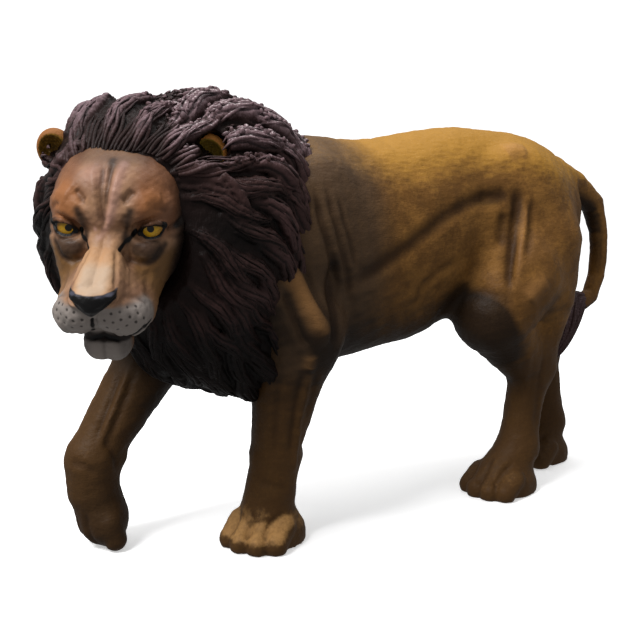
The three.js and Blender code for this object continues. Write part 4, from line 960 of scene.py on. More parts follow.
UPPER_LID = [on_eye(0.84, -0.62, -0.16, 0.4), on_eye(0.9, -0.25, 0.26, 0.7), on_eye(0.86, 0.15, 0.42, 0.9),
             on_eye(0.72, 0.55, 0.42, 0.8), on_eye(0.5, 0.86, 0.28, 0.4)]
LOWER_LID = [UPPER_LID[0], on_eye(0.9, -0.25, -0.40, 0.4), on_eye(0.9, 0.15, -0.44, 0.5),
             on_eye(0.74, 0.55, -0.26, 0.5), UPPER_LID[-1]]

print("upper lid in", len(UPPER_LID), "points")

# %% Skull, muzzle, lids and nose
face_clay = Clay(head_grid)
face_clay.ball((-25, 0, 2), (27, 23.8, 21.5))
face_clay.ball((-13, 0, 3.5), (11, 15.9, 13), 8)
face_clay.limb([(-18, 7.5, 9), (-9.5, 7.5, 7.5)], [9, 8], 6, paired=True)
# Cheek, cheekbone and brow
face_clay.ball((-14, 12, -9), (14, 9.2, 13), 6, paired=True)
face_clay.limb([(-15, 12, -13), (-6, 10.4, -18), (2, 8.6, -23)], [9.2, 8.6, 8], 6, paired=True)
face_clay.limb([(-3.5, 13, -8.5), (-10, 17, -7.5), (-20, 19.4, -3)], [4.4, 4.8, 4.8], 5, paired=True)
face_clay.limb([(-1.2, 7, 3.6), (-2.8, 12.6, 5.6), (-9.5, 17.6, 4.8)], [3.2, 3.6, 3.4], 4, paired=True)
# Bridge, muzzle, whisker pads, jaw and chin
face_clay.limb([(-5, 2, -0.2), (4.2, 2, -8.2), (20.3, 3.4, -15.6)], [4.6, 4.3, 4.8], 2, paired=True)
face_clay.ball((7, 0, -21), (16, 12.6, 10.5), 5)
face_clay.limb([(18.2, 5.85, -23), (14, 8.8, -25.4), (6, 10, -26.4)], [6.6, 7.7, 7], 3, paired=True)
face_clay.limb([(-22, 0, -24), (-2, 0, -31), (6, 0, -36)], [13, 9.4, 7.4], 5)
face_clay.ball((8.4, 2.4, -39.4), (6.6, 6, 5.8), 3, paired=True)
MOUTH = [(26.4, 0, -26.2), (23, 4, -29.4), (18.5, 8.2, -32.6), (12, 12.2, -34.2), (4.5, 14.4, -33),
         (-2, 15.4, -30)]
face_clay.limb(MOUTH, [1.1, 1.2, 1.2, 1.1, 0.8, 0.4], 1.2, paired=True, carved=True)
# The hollow that the eye lies in, its lids, and the slit between them
face_clay.ball((-0.6, 14, -0.8), (5.2, 6, 3.8), 2.5, paired=True, carved=True)
face_clay.ball(EYE_CENTRE, [EYE_RADIUS + 0.5] * 3, 1.6, paired=True)
face_clay.limb(UPPER_LID, [0.7, 1.1, 1.2, 1.1, 0.6], 1.0, paired=True)
face_clay.limb(LOWER_LID, [0.6, 0.7, 0.75, 0.7, 0.5], 1.0, paired=True)
face_clay.limb([on_eye(0.88, -0.5, -0.14, 1.2), on_eye(0.95, -0.1, -0.06, 1.5), on_eye(0.86, 0.34, 0.02, 1.5),
                on_eye(0.64, 0.74, 0.14, 1)], [0.9, 2.5, 2.5, 1], 0.5, paired=True, carved=True)
# Nose leather with its nostrils, and the groove under it
face_clay.ball((24.2, 0, -15.8), (4.4, 6.9, 3.9), 1)
face_clay.limb([(23.6, 5.6, -16.2), (21.4, 6.6, -16.6)], [2.6, 2.2], 1, paired=True)
face_clay.limb([(25.8, 0, -17.5), (24.8, 0, -21)], [3.2, 1.6], 1.4)
NOSTRIL = [(29.4, 2.2, -18), (27.6, 4.8, -17.4), (24.2, 7.4, -15.8), (22, 8.6, -14.6)]
face_clay.limb(NOSTRIL, [0.8, 1.2, 0.9, 0.4], 0.7, paired=True, carved=True)
face_clay.limb([(26.6, 0, -21.6), (22.8, 0, -24), (22, 0, -26.6), (20.6, 0, -29.6)], [0.6, 0.9, 1, 1], 0.9,
               carved=True)
print("face clay:", len(face_clay.steps), "shapes")


# %% Lines and dots of the face, drawn on its left side where the camera sees them
def on_face(pixels):
    """Places on the face under the photograph's pixels, in the head's grid."""
    return head_grid.inside(face_clay.seen(pixels))


# Pixels of each line, its width, and its height in millimetres
FACE_LINES = [(on_face(pixels), width, height) for pixels, width, height in [
    ([(113, 163), (108, 186), (105, 208), (102, 232)], 1.3, -0.9),
    ([(124, 165), (116, 184), (112, 204), (108, 222)], 1.5, 0.7),
    ([(135, 191), (128, 197), (123, 203)], 1.5, -1.1),
    ([(140, 199), (150, 196), (162, 199)], 3.2, 0.8),
    ([(153, 208), (160, 208), (168, 211)], 1.1, -0.7),
    ([(127, 214), (122, 224), (119, 236)], 1.6, -0.8),
    ([(120, 250), (128, 258), (141, 264), (154, 261), (163, 248), (166, 240)], 1.3, -0.9),
    ([(168, 229), (175, 225), (183, 218)], 1.0, -0.9),
    ([(168, 236), (177, 237), (185, 233)], 1.0, -0.6),
    ([(116, 250), (116, 270), (115, 289)], 1.0, -0.7),
    ([(98, 238), (104, 229), (109, 222)], 1.2, 0.5),
    ([(126, 268), (131, 272), (134, 268)], 2.2, 0.6),
    ([(117, 302), (126, 296), (138, 297), (148, 305)], 1.4, -0.6),
    ([(150, 268), (146, 284), (149, 300)], 2.0, -0.5),
]]
LIPS = on_face([(94, 331), (104, 336), (119, 340), (132, 336), (144, 328), (151, 320)])
PHILTRUM = on_face([(92, 319), (92, 324), (93, 330)])
FACE_LINES += [(LIPS, 1.1, -0.8), (PHILTRUM, 1.0, -0.9)]
WHISKERS = on_face([
    (104, 321), (111, 314), (120, 312), (128, 307), (136, 306), (107, 328), (113, 323), (121, 320), (130, 317),
    (138, 313), (144, 318), (118, 330), (127, 326), (136, 322), (145, 325)])
print(len(FACE_LINES), "lines and", len(WHISKERS), "whisker dots")


# %% The face's skin
def to_left(p):
    """Points of both sides of the head, all on its left."""
    return np.stack([p[:, 0], np.abs(p[:, 1]), p[:, 2]], 1)


def face_lines(p):
    return sum(crease(to_left(p), line, width, height) for line, width, height in FACE_LINES)


def whisker_dots(p, size):
    return np.max([spot(to_left(p), place, np.full(3, size)) for place in WHISKERS], axis=0)


def face_relief(points, directions):
    p = head_grid.inside(points)
    furry = 0.06 * soft_waves(points, 2.4, seed=8) + 0.1 * soft_waves(points, 6, seed=9)
    off_eye = smooth_step(np.linalg.norm(to_left(p) - EYE_CENTRE, axis=1), 6, 9)
    return face_lines(p) + furry * off_eye - 0.3 * whisker_dots(p, 0.9)


FACE_CELL = 0.48
head_low, head_high = head_point(0, 0, 0) - 62, head_point(0, 0, 0) + (70, 60, 40)
face_points, face_faces, face_normals = skin(face_clay, head_low, head_high, FACE_CELL, face_relief)
# Only what the mane leaves open is kept: the back of the skull is parted off and closed flat
kept = head_grid.inside(face_points)[face_faces][:, :, 0].mean(1) > -36
face_faces = face_faces[kept]
print("face skin:", len(face_points), "points")


# %% Paint masks for the face
def near_line(p, line, width):
    """1 on a line, fading to 0 over a width."""
    away, _ = to_line(p, line, np.zeros(len(line)))
    return np.exp(-(away / width) ** 2)


def patch(p, pixel, size):
    """A soft round patch of paint where the camera sees a pixel of the photograph."""
    return spot(p, on_face([pixel])[0], np.full(3, size))


# Pixels of each dark line beside eyes and brows, its width in millimetres and its share of the dark
SHADED_LINES = [
    ([(130, 212), (127, 222), (126, 240)], 1.9, 0.8),
    ([(134, 192), (124, 203)], 0.9, 0.6),
    ([(168, 229), (176, 225), (184, 218)], 1.0, 0.6),
    ([(166, 244), (160, 256), (148, 264)], 1.2, 0.5),
]


def face_masks(points, normals):
    p = head_grid.inside(points)
    x, y, z = p.T
    side, folded = np.abs(y), to_left(p)
    turned_up = (normals @ head_grid.turn)[:, 2]
    # The leather is a triangle with a wing at each side, from the bridge's end to the stalk
    below_top = smooth_step(-z, 12.6, 13.6)
    above_v = smooth_step(z - side * 0.7, -21.6, -20.6)
    leather = below_top * above_v * smooth_step(x, 17.5, 19) * smooth_step(-side, -8.3, -7.3)
    groove = np.maximum(near_line(p, PHILTRUM, 0.9), near_line(folded, LIPS, 1.0))
    black = np.maximum(leather, 1.1 * groove)
    lids = np.maximum(1.3 * near_line(folded, UPPER_LID, 1.05), 0.8 * near_line(folded, LOWER_LID, 0.8))
    tear = near_line(folded, on_face([(136, 231), (128, 240), (120, 250)]), 0.9)
    black = np.maximum(black, np.clip(1.25 * np.maximum(lids, tear), 0, 1))
    # The dark: painted shade in the eye sockets, beside the brows, down the forehead's groove, at the sides of the
    # face, under the lips and chin and below the hairline, over some dark marks
    bag = patch(folded, (146, 250), 4.0) + patch(folded, (156, 247), 3.4) + 0.8 * patch(folded, (135, 250), 2.8)
    dark = 0.72 * np.clip(bag, 0, 1)
    for pixels, width, share in SHADED_LINES:
        dark += share * near_line(folded, on_face(pixels), width)
    dark += 0.3 * near_line(p, on_face([(113, 160), (109, 182), (106, 205)]), 1.5)
    dark += 0.95 * smooth_step(side - x * 0.5 - z * 0.35, 21, 33)
    chin = smooth_step(-z, 31, 34)
    dark += chin * (0.1 + 0.4 * smooth_step(side, 3, 7) + 0.75 * smooth_step(z, -37, -35.3))
    dark += 0.3 * chin * np.exp(-(y / 0.9) ** 2)
    dark += 0.55 * smooth_step(z, 15.5, 21)
    cheek = smooth_step(side, 7.0, 11) * smooth_step(-z, 4, 12) * smooth_step(-x, -17, 2)
    brown = smooth_step(side, 5, 14) * smooth_step(z, -10, 2)
    # The pale bridge is kept to where the face turns up, so its sides fall darker: pale paint, partly painted light
    pale = smooth_step(-side, -7.6, -4.6) * smooth_step(-z, -1, 9) * smooth_step(turned_up, 0.0, 0.7)
    lit = near_line(p, on_face([(124, 164), (117, 184), (113, 204), (109, 220)]), 2.2)
    lit = np.maximum(0.75 * lit, 0.6 * near_line(p, on_face([(99, 238), (108, 225)]), 1.4))
    lit = np.maximum(lit, 0.8 * patch(p, (95, 229), 1.0))
    lit = np.maximum(lit, 0.55 * patch(p, (95, 172), 7))
    grey = smooth_step(x, 5, 12) * smooth_step(-z - 0.15 * side, 14.5, 19.5)
    white = 0.7 * smooth_step(x, 9, 17) * smooth_step(-side, -8, -3) * smooth_step(z, -15, -12)
    warm = 0.9 * patch(folded, (150, 204), 6) + 0.5 * patch(folded, (160, 186), 7) + patch(p, (66, 203), 6)
    # The bluish mark on top of the nose leather is a painted highlight
    masks = {
        "black": black, "dark": dark, "pale": pale, "grey": grey, "white": white, "warm": warm, "lit": lit,
        "cheek": cheek, "brown": brown, "leather": leather, "dots": whisker_dots(p, 0.62),
        "leather_highlight": leather * smooth_step(turned_up, 0.45, 0.85)}
    masks = {mask: np.clip(values, 0, 1) for mask, values in masks.items()}
    # fold darkens the face's creases as painted shade
    return {**masks, "fold": np.clip(-face_lines(p), 0, 2)}


face_skin = make_piece("face_skin", face_points, face_faces, face_normals, face_masks(face_points, face_normals))
dress(face_skin, face_paint, "head_casting")

# %% [markdown]
# ## Eyes and ears
# Each eye is a glossy ball in its lids, with a painted iris and pupil. Both eyes look past the camera, so
# the pupils sit to one side. How many degrees each spot lies from the pupil's middle is stored as a mask, and
# the enamel's rings follow from it. A second mask is the upper lid's shade. Ears are cups with a thick rim.

# %% Eyeballs and ear cups
eye_clay = Clay(head_grid).ball(EYE_CENTRE, [EYE_RADIUS] * 3, 1, paired=True)
EAR_Y, EAR_BACK, EAR_RISE, EAR_WIDE, EAR_HIGH = 28.6, -42.5, 14.2, 7.0, 7.84
ear_clay = Clay(head_grid)
ear_clay.ball((EAR_BACK, EAR_Y, EAR_RISE), (4.2, EAR_WIDE, EAR_HIGH), 1, paired=True)
ear_clay.limb([(EAR_BACK + 6, 18.8, 7), (EAR_BACK - 0.5, EAR_Y - 1.6, 11)], [4, 5], 3, paired=True)
ear_clay.ball((EAR_BACK + 4.2, EAR_Y + 0.4, EAR_RISE - 0.4), (5, 5.5, 6.4), 1, paired=True, carved=True)


def side_of(points, faces, sign):
    """The squares on one side of the head, with sign 1 for its left."""
    return faces[head_grid.inside(points[faces].mean(1))[:, 1] * sign > 0]


def degrees_from(points, centre, pixel):
    """The angle, seen from an eye's middle, between points and the spot under a pixel."""
    aim = eye_clay.seen([pixel])[0] - centre
    away = points - centre
    cosine = away @ aim / (np.linalg.norm(away, axis=1) * np.linalg.norm(aim) + 1e-9)
    return np.degrees(np.arccos(np.clip(cosine, -1, 1)))


eye_points, eye_faces, eye_normals = skin(eye_clay, head_low, head_high, 0.45)
ear_points, ear_faces, ear_normals = skin(ear_clay, head_low - 12, head_high + 12, 0.7)
ear_local = head_grid.inside(ear_points)
out_of_cup = np.hypot((np.abs(ear_local[:, 1]) - EAR_Y) / EAR_WIDE, (ear_local[:, 2] - EAR_RISE) / EAR_HIGH)
# near marks the ear on the lit side, whose colours are painted lighter
ear_masks = {
    "cup": 1 - smooth_step(out_of_cup, 0.7, 0.85), "rim": smooth_step(out_of_cup, 0.72, 0.9),
    "low": np.maximum(smooth_step(EAR_RISE - ear_local[:, 2], 1, 5), smooth_step(EAR_BACK - ear_local[:, 0], 0, 1.5)),
    "near": smooth_step(ear_local[:, 1], -1, 1)}
for side, sign, pupil in (("left", 1, (150.5, 229.0)), ("right", -1, (68.5, 228.0))):
    centre = head_point(*(EYE_CENTRE * (1, sign, 1)))
    eye = make_piece("eyeball_" + side, eye_points, side_of(eye_points, eye_faces, sign), eye_normals, {
        "off_gaze": degrees_from(eye_points, centre, pupil),
        "lid_shade": smooth_step(head_grid.inside(eye_points)[:, 2] - EYE_CENTRE[2], 0.6, 3.0)})
    ear = make_piece("ear_cup_" + side, ear_points, side_of(ear_points, ear_faces, sign), ear_normals, ear_masks)
    dress(eye, eye_paint, "eye_" + side)
    dress(ear, ear_paint, "ear_" + side)

# %% [markdown]
# ## The mane
# The mane is a thick ruff round the neck, worked into overlapping locks. They are combed out and back from
# the face and hang more the lower they grow. The roots are an even spread of points that are walked onto
# the ruff, and a root too near another is dropped. A path is then combed from each root, and a tapered roll
# of clay is laid along it. The castings hold such rolls too, and this skin adds the strands in them.

# %% The ruff in clay
MANE_HALF, MANE_TOP, NAPE_X, RUFF_X, RUFF_Z = 40.0, 182.0, -58.0, -92.4, 62.0
top = MANE_TOP - MANE_HALF * 0.95
ruff = Clay()
ruff.join(Clay(head_grid).ball((-39, 3, 7), (30, 24.2, 23.6)))
ruff.limb([head_point(-48, 0, -2), (RUFF_X + 10.4, 0, top - 1), (NAPE_X - 8, 0, top - 3.6)], [32, 40, 32], 10)
ruff.limb([head_point(-46, 0, -14), (RUFF_X + 5.4, -4, top - 20), (NAPE_X - 20, 0, top - 18)],
          [32.8, 41.6, 34.4], 10)
ruff.ball((RUFF_X + 4.4, -6, RUFF_Z + 42), (26, 30, 34), 10)
ruff.ball((NAPE_X - 10, -6, RUFF_Z + 21.5), (24, 24, 21.5), 8)
ruff.join(Clay(head_grid).ball((-32, 0, -18), (24, 30.2, 34)), 8)
ruff.join(Clay(head_grid).ball((8, 0, -9), (34, 31, 30)), 3, carved=True)
print("ruff:", len(ruff.steps), "shapes")


def combed(points, normals):
    """Which way the hair lies: out and back from the face, and down where it grows low or behind."""
    _, across, up = head_grid.inside(points).T
    flow = np.stack([np.full(len(up), -0.8), across / 30, (up + 6) / 30], 1) @ head_grid.turn.T
    behind = np.clip((points[:, 0] - NAPE_X + 14) / 26, 0, 1)
    flow[:, 0] = (flow[:, 0] + 0.35) * (1 - behind)
    flow[:, 2] -= np.clip((26 - up) / 26, 0, 1.5) + 0.9 * behind
    flow -= (flow * normals).sum(1, keepdims=True) * normals
    return flow / np.linalg.norm(flow, axis=1, keepdims=True)


# %% Where the locks grow
LOCK_WIDTH, LOCK_LENGTH, ROOT_TRIES = 11.5, 34.0, 2000
count = np.arange(ROOT_TRIES) + 0.5
level = np.sqrt(1 - (1 - 2 * count / ROOT_TRIES) ** 2)
turn = math.pi * (1 + math.sqrt(5)) * count
spokes = np.stack([44 * level * np.cos(turn), 38 * level * np.sin(turn), 44 * (1 - 2 * count / ROOT_TRIES)], 1)
roots = ruff.settle(np.array([RUFF_X + 2.4, -12, RUFF_Z + 68]) + spokes, 12)
normals = ruff.outward(roots)
local = head_grid.inside(roots)
kept = (np.abs(ruff.distance(roots)) < 0.3) & (normals[:, 2] < 0.8) & (normals[:, 2] > -0.75)
kept &= ~((local[:, 0] > -9) & (local[:, 2] > 8)) & (roots[:, 0] <= NAPE_X + 4)
kept &= face_clay.distance(roots) >= 0.6
roots, forward, flows = roots[kept], local[kept, 0], combed(roots[kept], normals[kept])
widths = LOCK_WIDTH * (0.66 + 0.34 * np.clip((-forward - 18) / 12, 0, 1))
chosen = []
for n in np.argsort(-forward, kind="stable"):
    away = roots[n] - roots[chosen]
    along = (away * flows[chosen]).sum(1)
    apart = (along / 2.2) ** 2 + (away**2).sum(1) - along**2
    if not len(chosen) or apart.min() >= (0.8 * widths[n]) ** 2:
        chosen.append(n)
widths = widths[chosen]
print("locks:", len(chosen), "from", len(roots), "roots")

# %% Each lock's path, and the mane with all of them laid on
TAPER = np.array([0.2, 0.36, 0.44, 0.44, 0.32, 0.1])
STRETCHES = len(TAPER) - 1
here, paths, sides, rises = roots[chosen], [], [], []
for step, share in enumerate(np.linspace(0, 1, len(TAPER))):
    normals = ruff.outward(here)
    flow = combed(here, normals)
    sideways = np.cross(normals, flow)
    sway = 1.7 * np.sin(2.4 * np.arange(len(here)) + 2 * math.pi * share)
    lift = 0.2 * widths * share**1.5 - 0.8
    paths.append(here + lift[:, None] * normals + sway[:, None] * sideways)
    sides.append(sideways)
    rises.append(normals)
    here = ruff.settle(here + flow * LOCK_LENGTH / STRETCHES, 3)
paths, sides, rises = (np.stack(rows, 1) for rows in (paths, sides, rises))
thick = widths[:, None] * TAPER

mane_clay = Clay().join(ruff)
for path, radii in zip(paths, thick):
    mane_clay.limb(path, radii, 1.2)
mane_clay.join(Clay(head_grid).ball((EAR_BACK + 8, EAR_Y + 2.6, EAR_RISE + 2.8), (11, 6.6, 7.26), 1, paired=True),
               1, carved=True)
print("mane clay:", len(mane_clay.steps), "shapes")

# %% Bundles of hair that grow from the temples and lie over the lower half of each ear
temple = Clay().join(mane_clay).join(ear_clay, 1)
TEMPLE_HAIR = [
    [(172, 162), (181, 155), (191, 152), (200, 155), (208, 161)],
    [(176, 166), (188, 160), (201, 159), (212, 165), (220, 174)],
    [(174, 173), (188, 170), (203, 169), (217, 171), (228, 180)],
    [(178, 180), (192, 178), (206, 178), (219, 181), (231, 190)],
    [(182, 186), (196, 188), (211, 188), (224, 192), (234, 202)],
    [(224, 176), (232, 183), (239, 193), (245, 206), (250, 220)],
    [(86, 150), (75, 157), (64, 165), (55, 172), (47, 178)],
    [(81, 158), (71, 168), (62, 177), (54, 184), (47, 190)],
    [(88, 143), (79, 146), (70, 152), (62, 159), (55, 166)],
]
for line in TEMPLE_HAIR:
    mane_clay.limb(temple.seen(line), [1.1, 2.0, 2.3, 2.0, 0.8], 1)
print("with", len(TEMPLE_HAIR), "bundles of temple hair:", len(mane_clay.steps), "shapes")


# %% Strands in the locks
def beside_locks(points):
    """The lock that each point lies on, how far along it, and how far across from -1 to 1."""
    owner, nearest = np.full(len(points), -1), np.full(len(points), 1.5)
    along, across = np.zeros(len(points)), np.zeros(len(points))
    for number, (path, side, radii) in enumerate(zip(paths, sides, thick)):
        near = np.nonzero(((points > path.min(0) - 6.5) & (points < path.max(0) + 6.5)).all(1))[0]
        away, share = to_line(points[near], path, radii)
        best = away < nearest[near]
        near, share = near[best], share[best]
        first = np.minimum((share * STRETCHES).astype(int), STRETCHES - 1)
        rest = (share * STRETCHES - first)[:, None]
        middle = path[first] * (1 - rest) + path[first + 1] * rest
        radius = radii[first] * (1 - rest[:, 0]) + radii[first + 1] * rest[:, 0]
        owner[near], nearest[near], along[near] = number, away[best], share
        across[near] = ((points[near] - middle) * side[first]).sum(1) / radius
    return owner, along, np.clip(across, -1.5, 1.5)


def combed_grooves(owner, along, across):
    """How deep a point lies in the grooves between strands, from 0 to 1."""
    bend = 0.22 * np.sin(5 * along + 1.7 * owner)
    wave = np.sin((4.6 + 0.9 * np.sin(3.1 * owner)) * (across + bend) + owner)
    edge = 1 - smooth_step(np.abs(across), 0.95, 1.25)
    return np.exp(-(wave / 0.5) ** 2) * edge * smooth_step(along, 0, 0.08) * (owner >= 0)


def mane_relief(points, directions):
    grooves = combed_grooves(*beside_locks(points))
    woolly = smooth_step(directions[:, 2], 0.55, 0.8)
    return 0.12 - 0.55 * grooves + (0.1 + 0.25 * woolly) * soft_waves(points, 3.0, seed=12)


MANE_LOW, MANE_HIGH = np.array([-186, -92, 48.0]), np.array([0, 72, 206.0])
MANE_CELL = 0.62
mane_points, mane_faces, mane_normals = skin(mane_clay, MANE_LOW, MANE_HIGH, MANE_CELL, mane_relief)
print("mane skin:", len(mane_points), "points")


# %% Paint masks for hair
def hair_masks(points, normals):
    owner, along, across = beside_locks(points)
    p, up = head_grid.inside(points), normals[:, 2]
    x, _, z = points.T
    wool = smooth_step(x, -118, -100) * smooth_step(up, 0.45, 0.75)
    wool *= smooth_step(z, 150, 162)
    # Painted shade low on the mane, where it faces down, and in the hollows by the ears
    shade = smooth_step(-z, -112, -78) + 0.7 * smooth_step(-up, 0, 0.8)
    hollow = spot(p, (-24, 36, -10), (16, 16, 14)) + spot(p, (-22, -34, -12), (14, 14, 14))
    out = ruff.distance(points)
    raised = np.maximum((out + 0.5) / 4.5, wool * (out - 0.2) / 1.3)
    # raised lightens crests as painted highlight; crown and wool place painted highlights high on the mane
    return {
        "raised": np.clip(raised, 0, 1), "tone": np.modf(0.37 * (owner + 1))[0],
        "groove": combed_grooves(owner, along, across), "up": np.clip(up, 0, 1), "wool": wool,
        "crown": smooth_step(z, 140, 172), "deep": np.clip(0.8 * shade + hollow, 0, 1)}


masks = hair_masks(mane_points, mane_normals)
print({mask: round(float(values.mean()), 2) for mask, values in masks.items()})

# %% The mane's skin, parted where its castings part
CROWN_SEAM, CHEST_SEAM = MANE_TOP - 30, RUFF_Z + 32
centres = mane_points[mane_faces].mean(1)
to_nape = np.array([NAPE_X, 0]) - head_grid.origin[:2]
off_head = centres - head_grid.origin
rightness = off_head[:, 1] * to_nape[0] - off_head[:, 0] * to_nape[1]
region = np.where(rightness > 0, "mane_right", "mane_left").astype(object)
region[centres[:, 2] > CROWN_SEAM] = "mane_crown"
region[centres[:, 2] < CHEST_SEAM] = "mane_chest"
for name in sorted(set(region)):
    locks = make_piece(name + "_locks", mane_points, mane_faces[region == name], mane_normals, masks)
    dress(locks, mane_paint, name)

# %% [markdown]
# ## Loose strands
# The moulded locks carry thinner strands that stand out of them, which catch the light. Each is a tapered
# roll that follows its lock. They repeat by the hundred, so Geometry Nodes sweep them: a mesh of lines goes
# in with a thickness at each point, and a six-sided section is carried along every line.

# %% A Geometry Nodes tree
class GeometryTree(Nodes):
    """A tree with named inputs for its sizes, which is run on a mesh and leaves a plain mesh."""

    def __init__(self, name, sizes):
        super().__init__(bpy.data.node_groups.new(name, "GeometryNodeTree"))
        sockets = self.tree.interface
        sockets.new_socket("Geometry", in_out="OUTPUT", socket_type="NodeSocketGeometry")
        sockets.new_socket("Geometry", in_out="INPUT", socket_type="NodeSocketGeometry")
        self.values = {}
        for label, value in sizes.items():
            kind = "NodeSocketInt" if isinstance(value, int) else "NodeSocketFloat"
            self.values[sockets.new_socket(label, in_out="INPUT", socket_type=kind).identifier] = value
        self.inputs = self.tree.nodes.new("NodeGroupInput").outputs
        self.given = Value(self, self.inputs["Geometry"])

    def size(self, label):
        return Value(self, self.inputs[label])

    def end(self, geometry, material):
        whole = self.node("GeometryNodeRealizeInstances", {}, [geometry])
        painted = self.node("GeometryNodeSetMaterial", {}, {"Geometry": whole, "Material": material})
        self.tree.links.new(painted.socket, self.tree.nodes.new("NodeGroupOutput").inputs[0])

    def run(self, name, mesh):
        source = new_object(name + "_source", mesh)
        modifier = source.modifiers.new(name, "NODES")
        modifier.node_group = self.tree
        for identifier, value in self.values.items():
            modifier[identifier] = value
        result = bpy.data.meshes.new_from_object(source.evaluated_get(bpy.context.evaluated_depsgraph_get()))
        source.modifiers.remove(modifier)
        bpy.data.objects.remove(source)
        return new_object(name, result)


def add_masks(mesh, masks_of):
    """Stores masks on a mesh that is already made, from its points and their directions."""
    places, directions = np.zeros((2, len(mesh.vertices) * 3))
    mesh.vertices.foreach_get("co", places)
    mesh.vertices.foreach_get("normal", directions)
    store_masks(mesh, masks_of(places.reshape(-1, 3) / MM - MIDDLE, directions.reshape(-1, 3)))


print("a tree's methods:", ", ".join(name for name in vars(GeometryTree) if name[0] != "_"))

# %% A tree that sweeps strands
strand_maker = GeometryTree("strand_maker", {"Thickness": 1.0, "Sides": 6, "Steps": 11})
node = strand_maker.node
lines = node("GeometryNodeMeshToCurve", {}, [strand_maker.given])
lines = node("GeometryNodeCurveSplineType", {"spline_type": "CATMULL_ROM"}, {"Curve": lines})
lines = node("GeometryNodeResampleCurve", {}, {"Curve": lines, "Count": strand_maker.size("Steps")})
thickness = node("GeometryNodeInputNamedAttribute", {"data_type": "FLOAT"}, {"Name": "thickness"})
section = node("GeometryNodeCurvePrimitiveCircle", {"mode": "RADIUS"}, {
    "Resolution": strand_maker.size("Sides"), "Radius": 1.0})
strands = node("GeometryNodeCurveToMesh", {}, {
    "Curve": lines, "Profile Curve": section, "Scale": thickness * strand_maker.size("Thickness"),
    "Fill Caps": True})
strand_maker.end(node("GeometryNodeSetShadeSmooth", {}, {"Geometry": strands}), mane_paint)
print("strand_maker has", len(strand_maker.tree.nodes), "nodes")


def sweep_strands(name, rows, radii, masks_of=hair_masks):
    """Rows of points in millimetres, and a radius at each, become one mesh of tapered rolls."""
    rows, radii = np.array(rows), np.array(radii)
    count, nodes = radii.shape
    mesh = bpy.data.meshes.new(name + "_lines")
    links = np.arange(count * nodes).reshape(count, nodes)
    edges = np.stack([links[:, :-1].ravel(), links[:, 1:].ravel()], 1)
    mesh.from_pydata(to_frame(rows.reshape(-1, 3)).tolist(), edges.tolist(), [])
    layer = mesh.attributes.new("thickness", "FLOAT", "POINT")
    layer.data.foreach_set("value", (radii.ravel() * MM).astype(np.float32))
    strands = strand_maker.run(name, mesh)
    add_masks(strands.data, masks_of)
    dress(strands, mane_paint)


# %% Strands on the locks of the mane
STRAND_SEED, STRANDS_TO_A_LOCK = 71, 5
random = np.random.default_rng(STRAND_SEED)
rows, radii = [], []
nodes = np.linspace(0, 1, len(TAPER))
for path, side, rise, radius, width in zip(paths, sides, rises, thick, widths):
    for across in np.linspace(-0.75, 0.75, STRANDS_TO_A_LOCK):
        start = random.uniform(0.02, 0.5)
        shares = np.linspace(start, start + random.uniform(0.4, 0.6), 6)
        middle, aside, outwards = (
            np.stack([np.interp(shares, nodes, table[:, k]) for k in range(3)], 1) for table in (path, side, rise))
        swing = across * (1 - 0.3 * (shares - start)) + 0.22 * np.sin(7 * shares + random.uniform(0, 6))
        round_here = np.interp(shares, nodes, radius)
        over = round_here * np.sqrt(np.clip(1 - swing**2, 0.05, 1)) - 0.25 + 0.8 * (shares - start) ** 2
        rows.append(middle + (round_here * swing)[:, None] * aside + over[:, None] * outwards)
        radii.append(width * random.uniform(0.055, 0.08) * np.array([0.2, 0.8, 1, 0.95, 0.7, 0.12]))
print(len(rows), "strands on the locks")

# %% The fringe: fine strands that rise from the hairline over the smooth front of the ruff
HAIRLINE = np.array([
    (58, 206), (62, 190), (69, 173), (78, 161), (88, 155), (100, 152), (113, 151), (127, 151), (140, 152),
    (152, 155), (163, 160), (172, 167), (181, 177)])
along = np.linspace(0, len(HAIRLINE) - 1, 40)
here = mane_clay.seen(np.stack([np.interp(along, range(len(HAIRLINE)), HAIRLINE[:, k]) for k in (0, 1)], 1))
sunk, swing = 0.1, random.uniform(0, 6, len(here))
fringe = []
for step in range(6):
    normals = mane_clay.outward(here)
    flow = combed(here, normals)
    fringe.append(here + sunk * normals + (0.5 * np.sin(1.2 * step + swing))[:, None] * np.cross(normals, flow))
    here = mane_clay.settle(here + flow * random.uniform(3.4, 4.6), 3)
rows += list(np.stack(fringe, 1))
radii += [random.uniform(0.75, 1.05) * np.array([0.7, 1, 1.1, 1.1, 0.9, 0.2]) for _ in swing]
sweep_strands("mane_strands", rows, radii)

# %% [markdown]
# ## The woolly crown
# From the top of the head to the withers the mane is short curled wool, which the modeller stippled. Nubs
# are spread over the crown by Geometry Nodes: points that keep a distance apart, a low ball with forty
# faces on each, turned and flattened at random, and then pushed about by noise so that no two are alike.

# %% A tree that spreads nubs
wool_maker = GeometryTree("wool_maker", {"Nub radius": 1.25 * MM, "Spacing": 1.9 * MM, "Seed": 7})
node = wool_maker.node
wool = node("GeometryNodeInputNamedAttribute", {"data_type": "FLOAT"}, {"Name": "wool"})
scattered = node("GeometryNodeDistributePointsOnFaces", {"distribute_method": "POISSON"}, {
    "Mesh": wool_maker.given, "Distance Min": wool_maker.size("Spacing"), "Density Max": 400000.0,
    "Density Factor": wool, "Seed": wool_maker.size("Seed")}, output="Points")
facing = Value(wool_maker, scattered.socket.node.outputs["Rotation"])
nub = node("GeometryNodeMeshUVSphere", {}, {
    "Segments": 8, "Rings": 5, "Radius": wool_maker.size("Nub radius")})
spin = node("FunctionNodeRandomValue", {"data_type": "FLOAT_VECTOR"}, {
    "Min": (-0.5, -0.5, 0.0), "Max": (0.5, 0.5, 6.28), "Seed": wool_maker.size("Seed")})
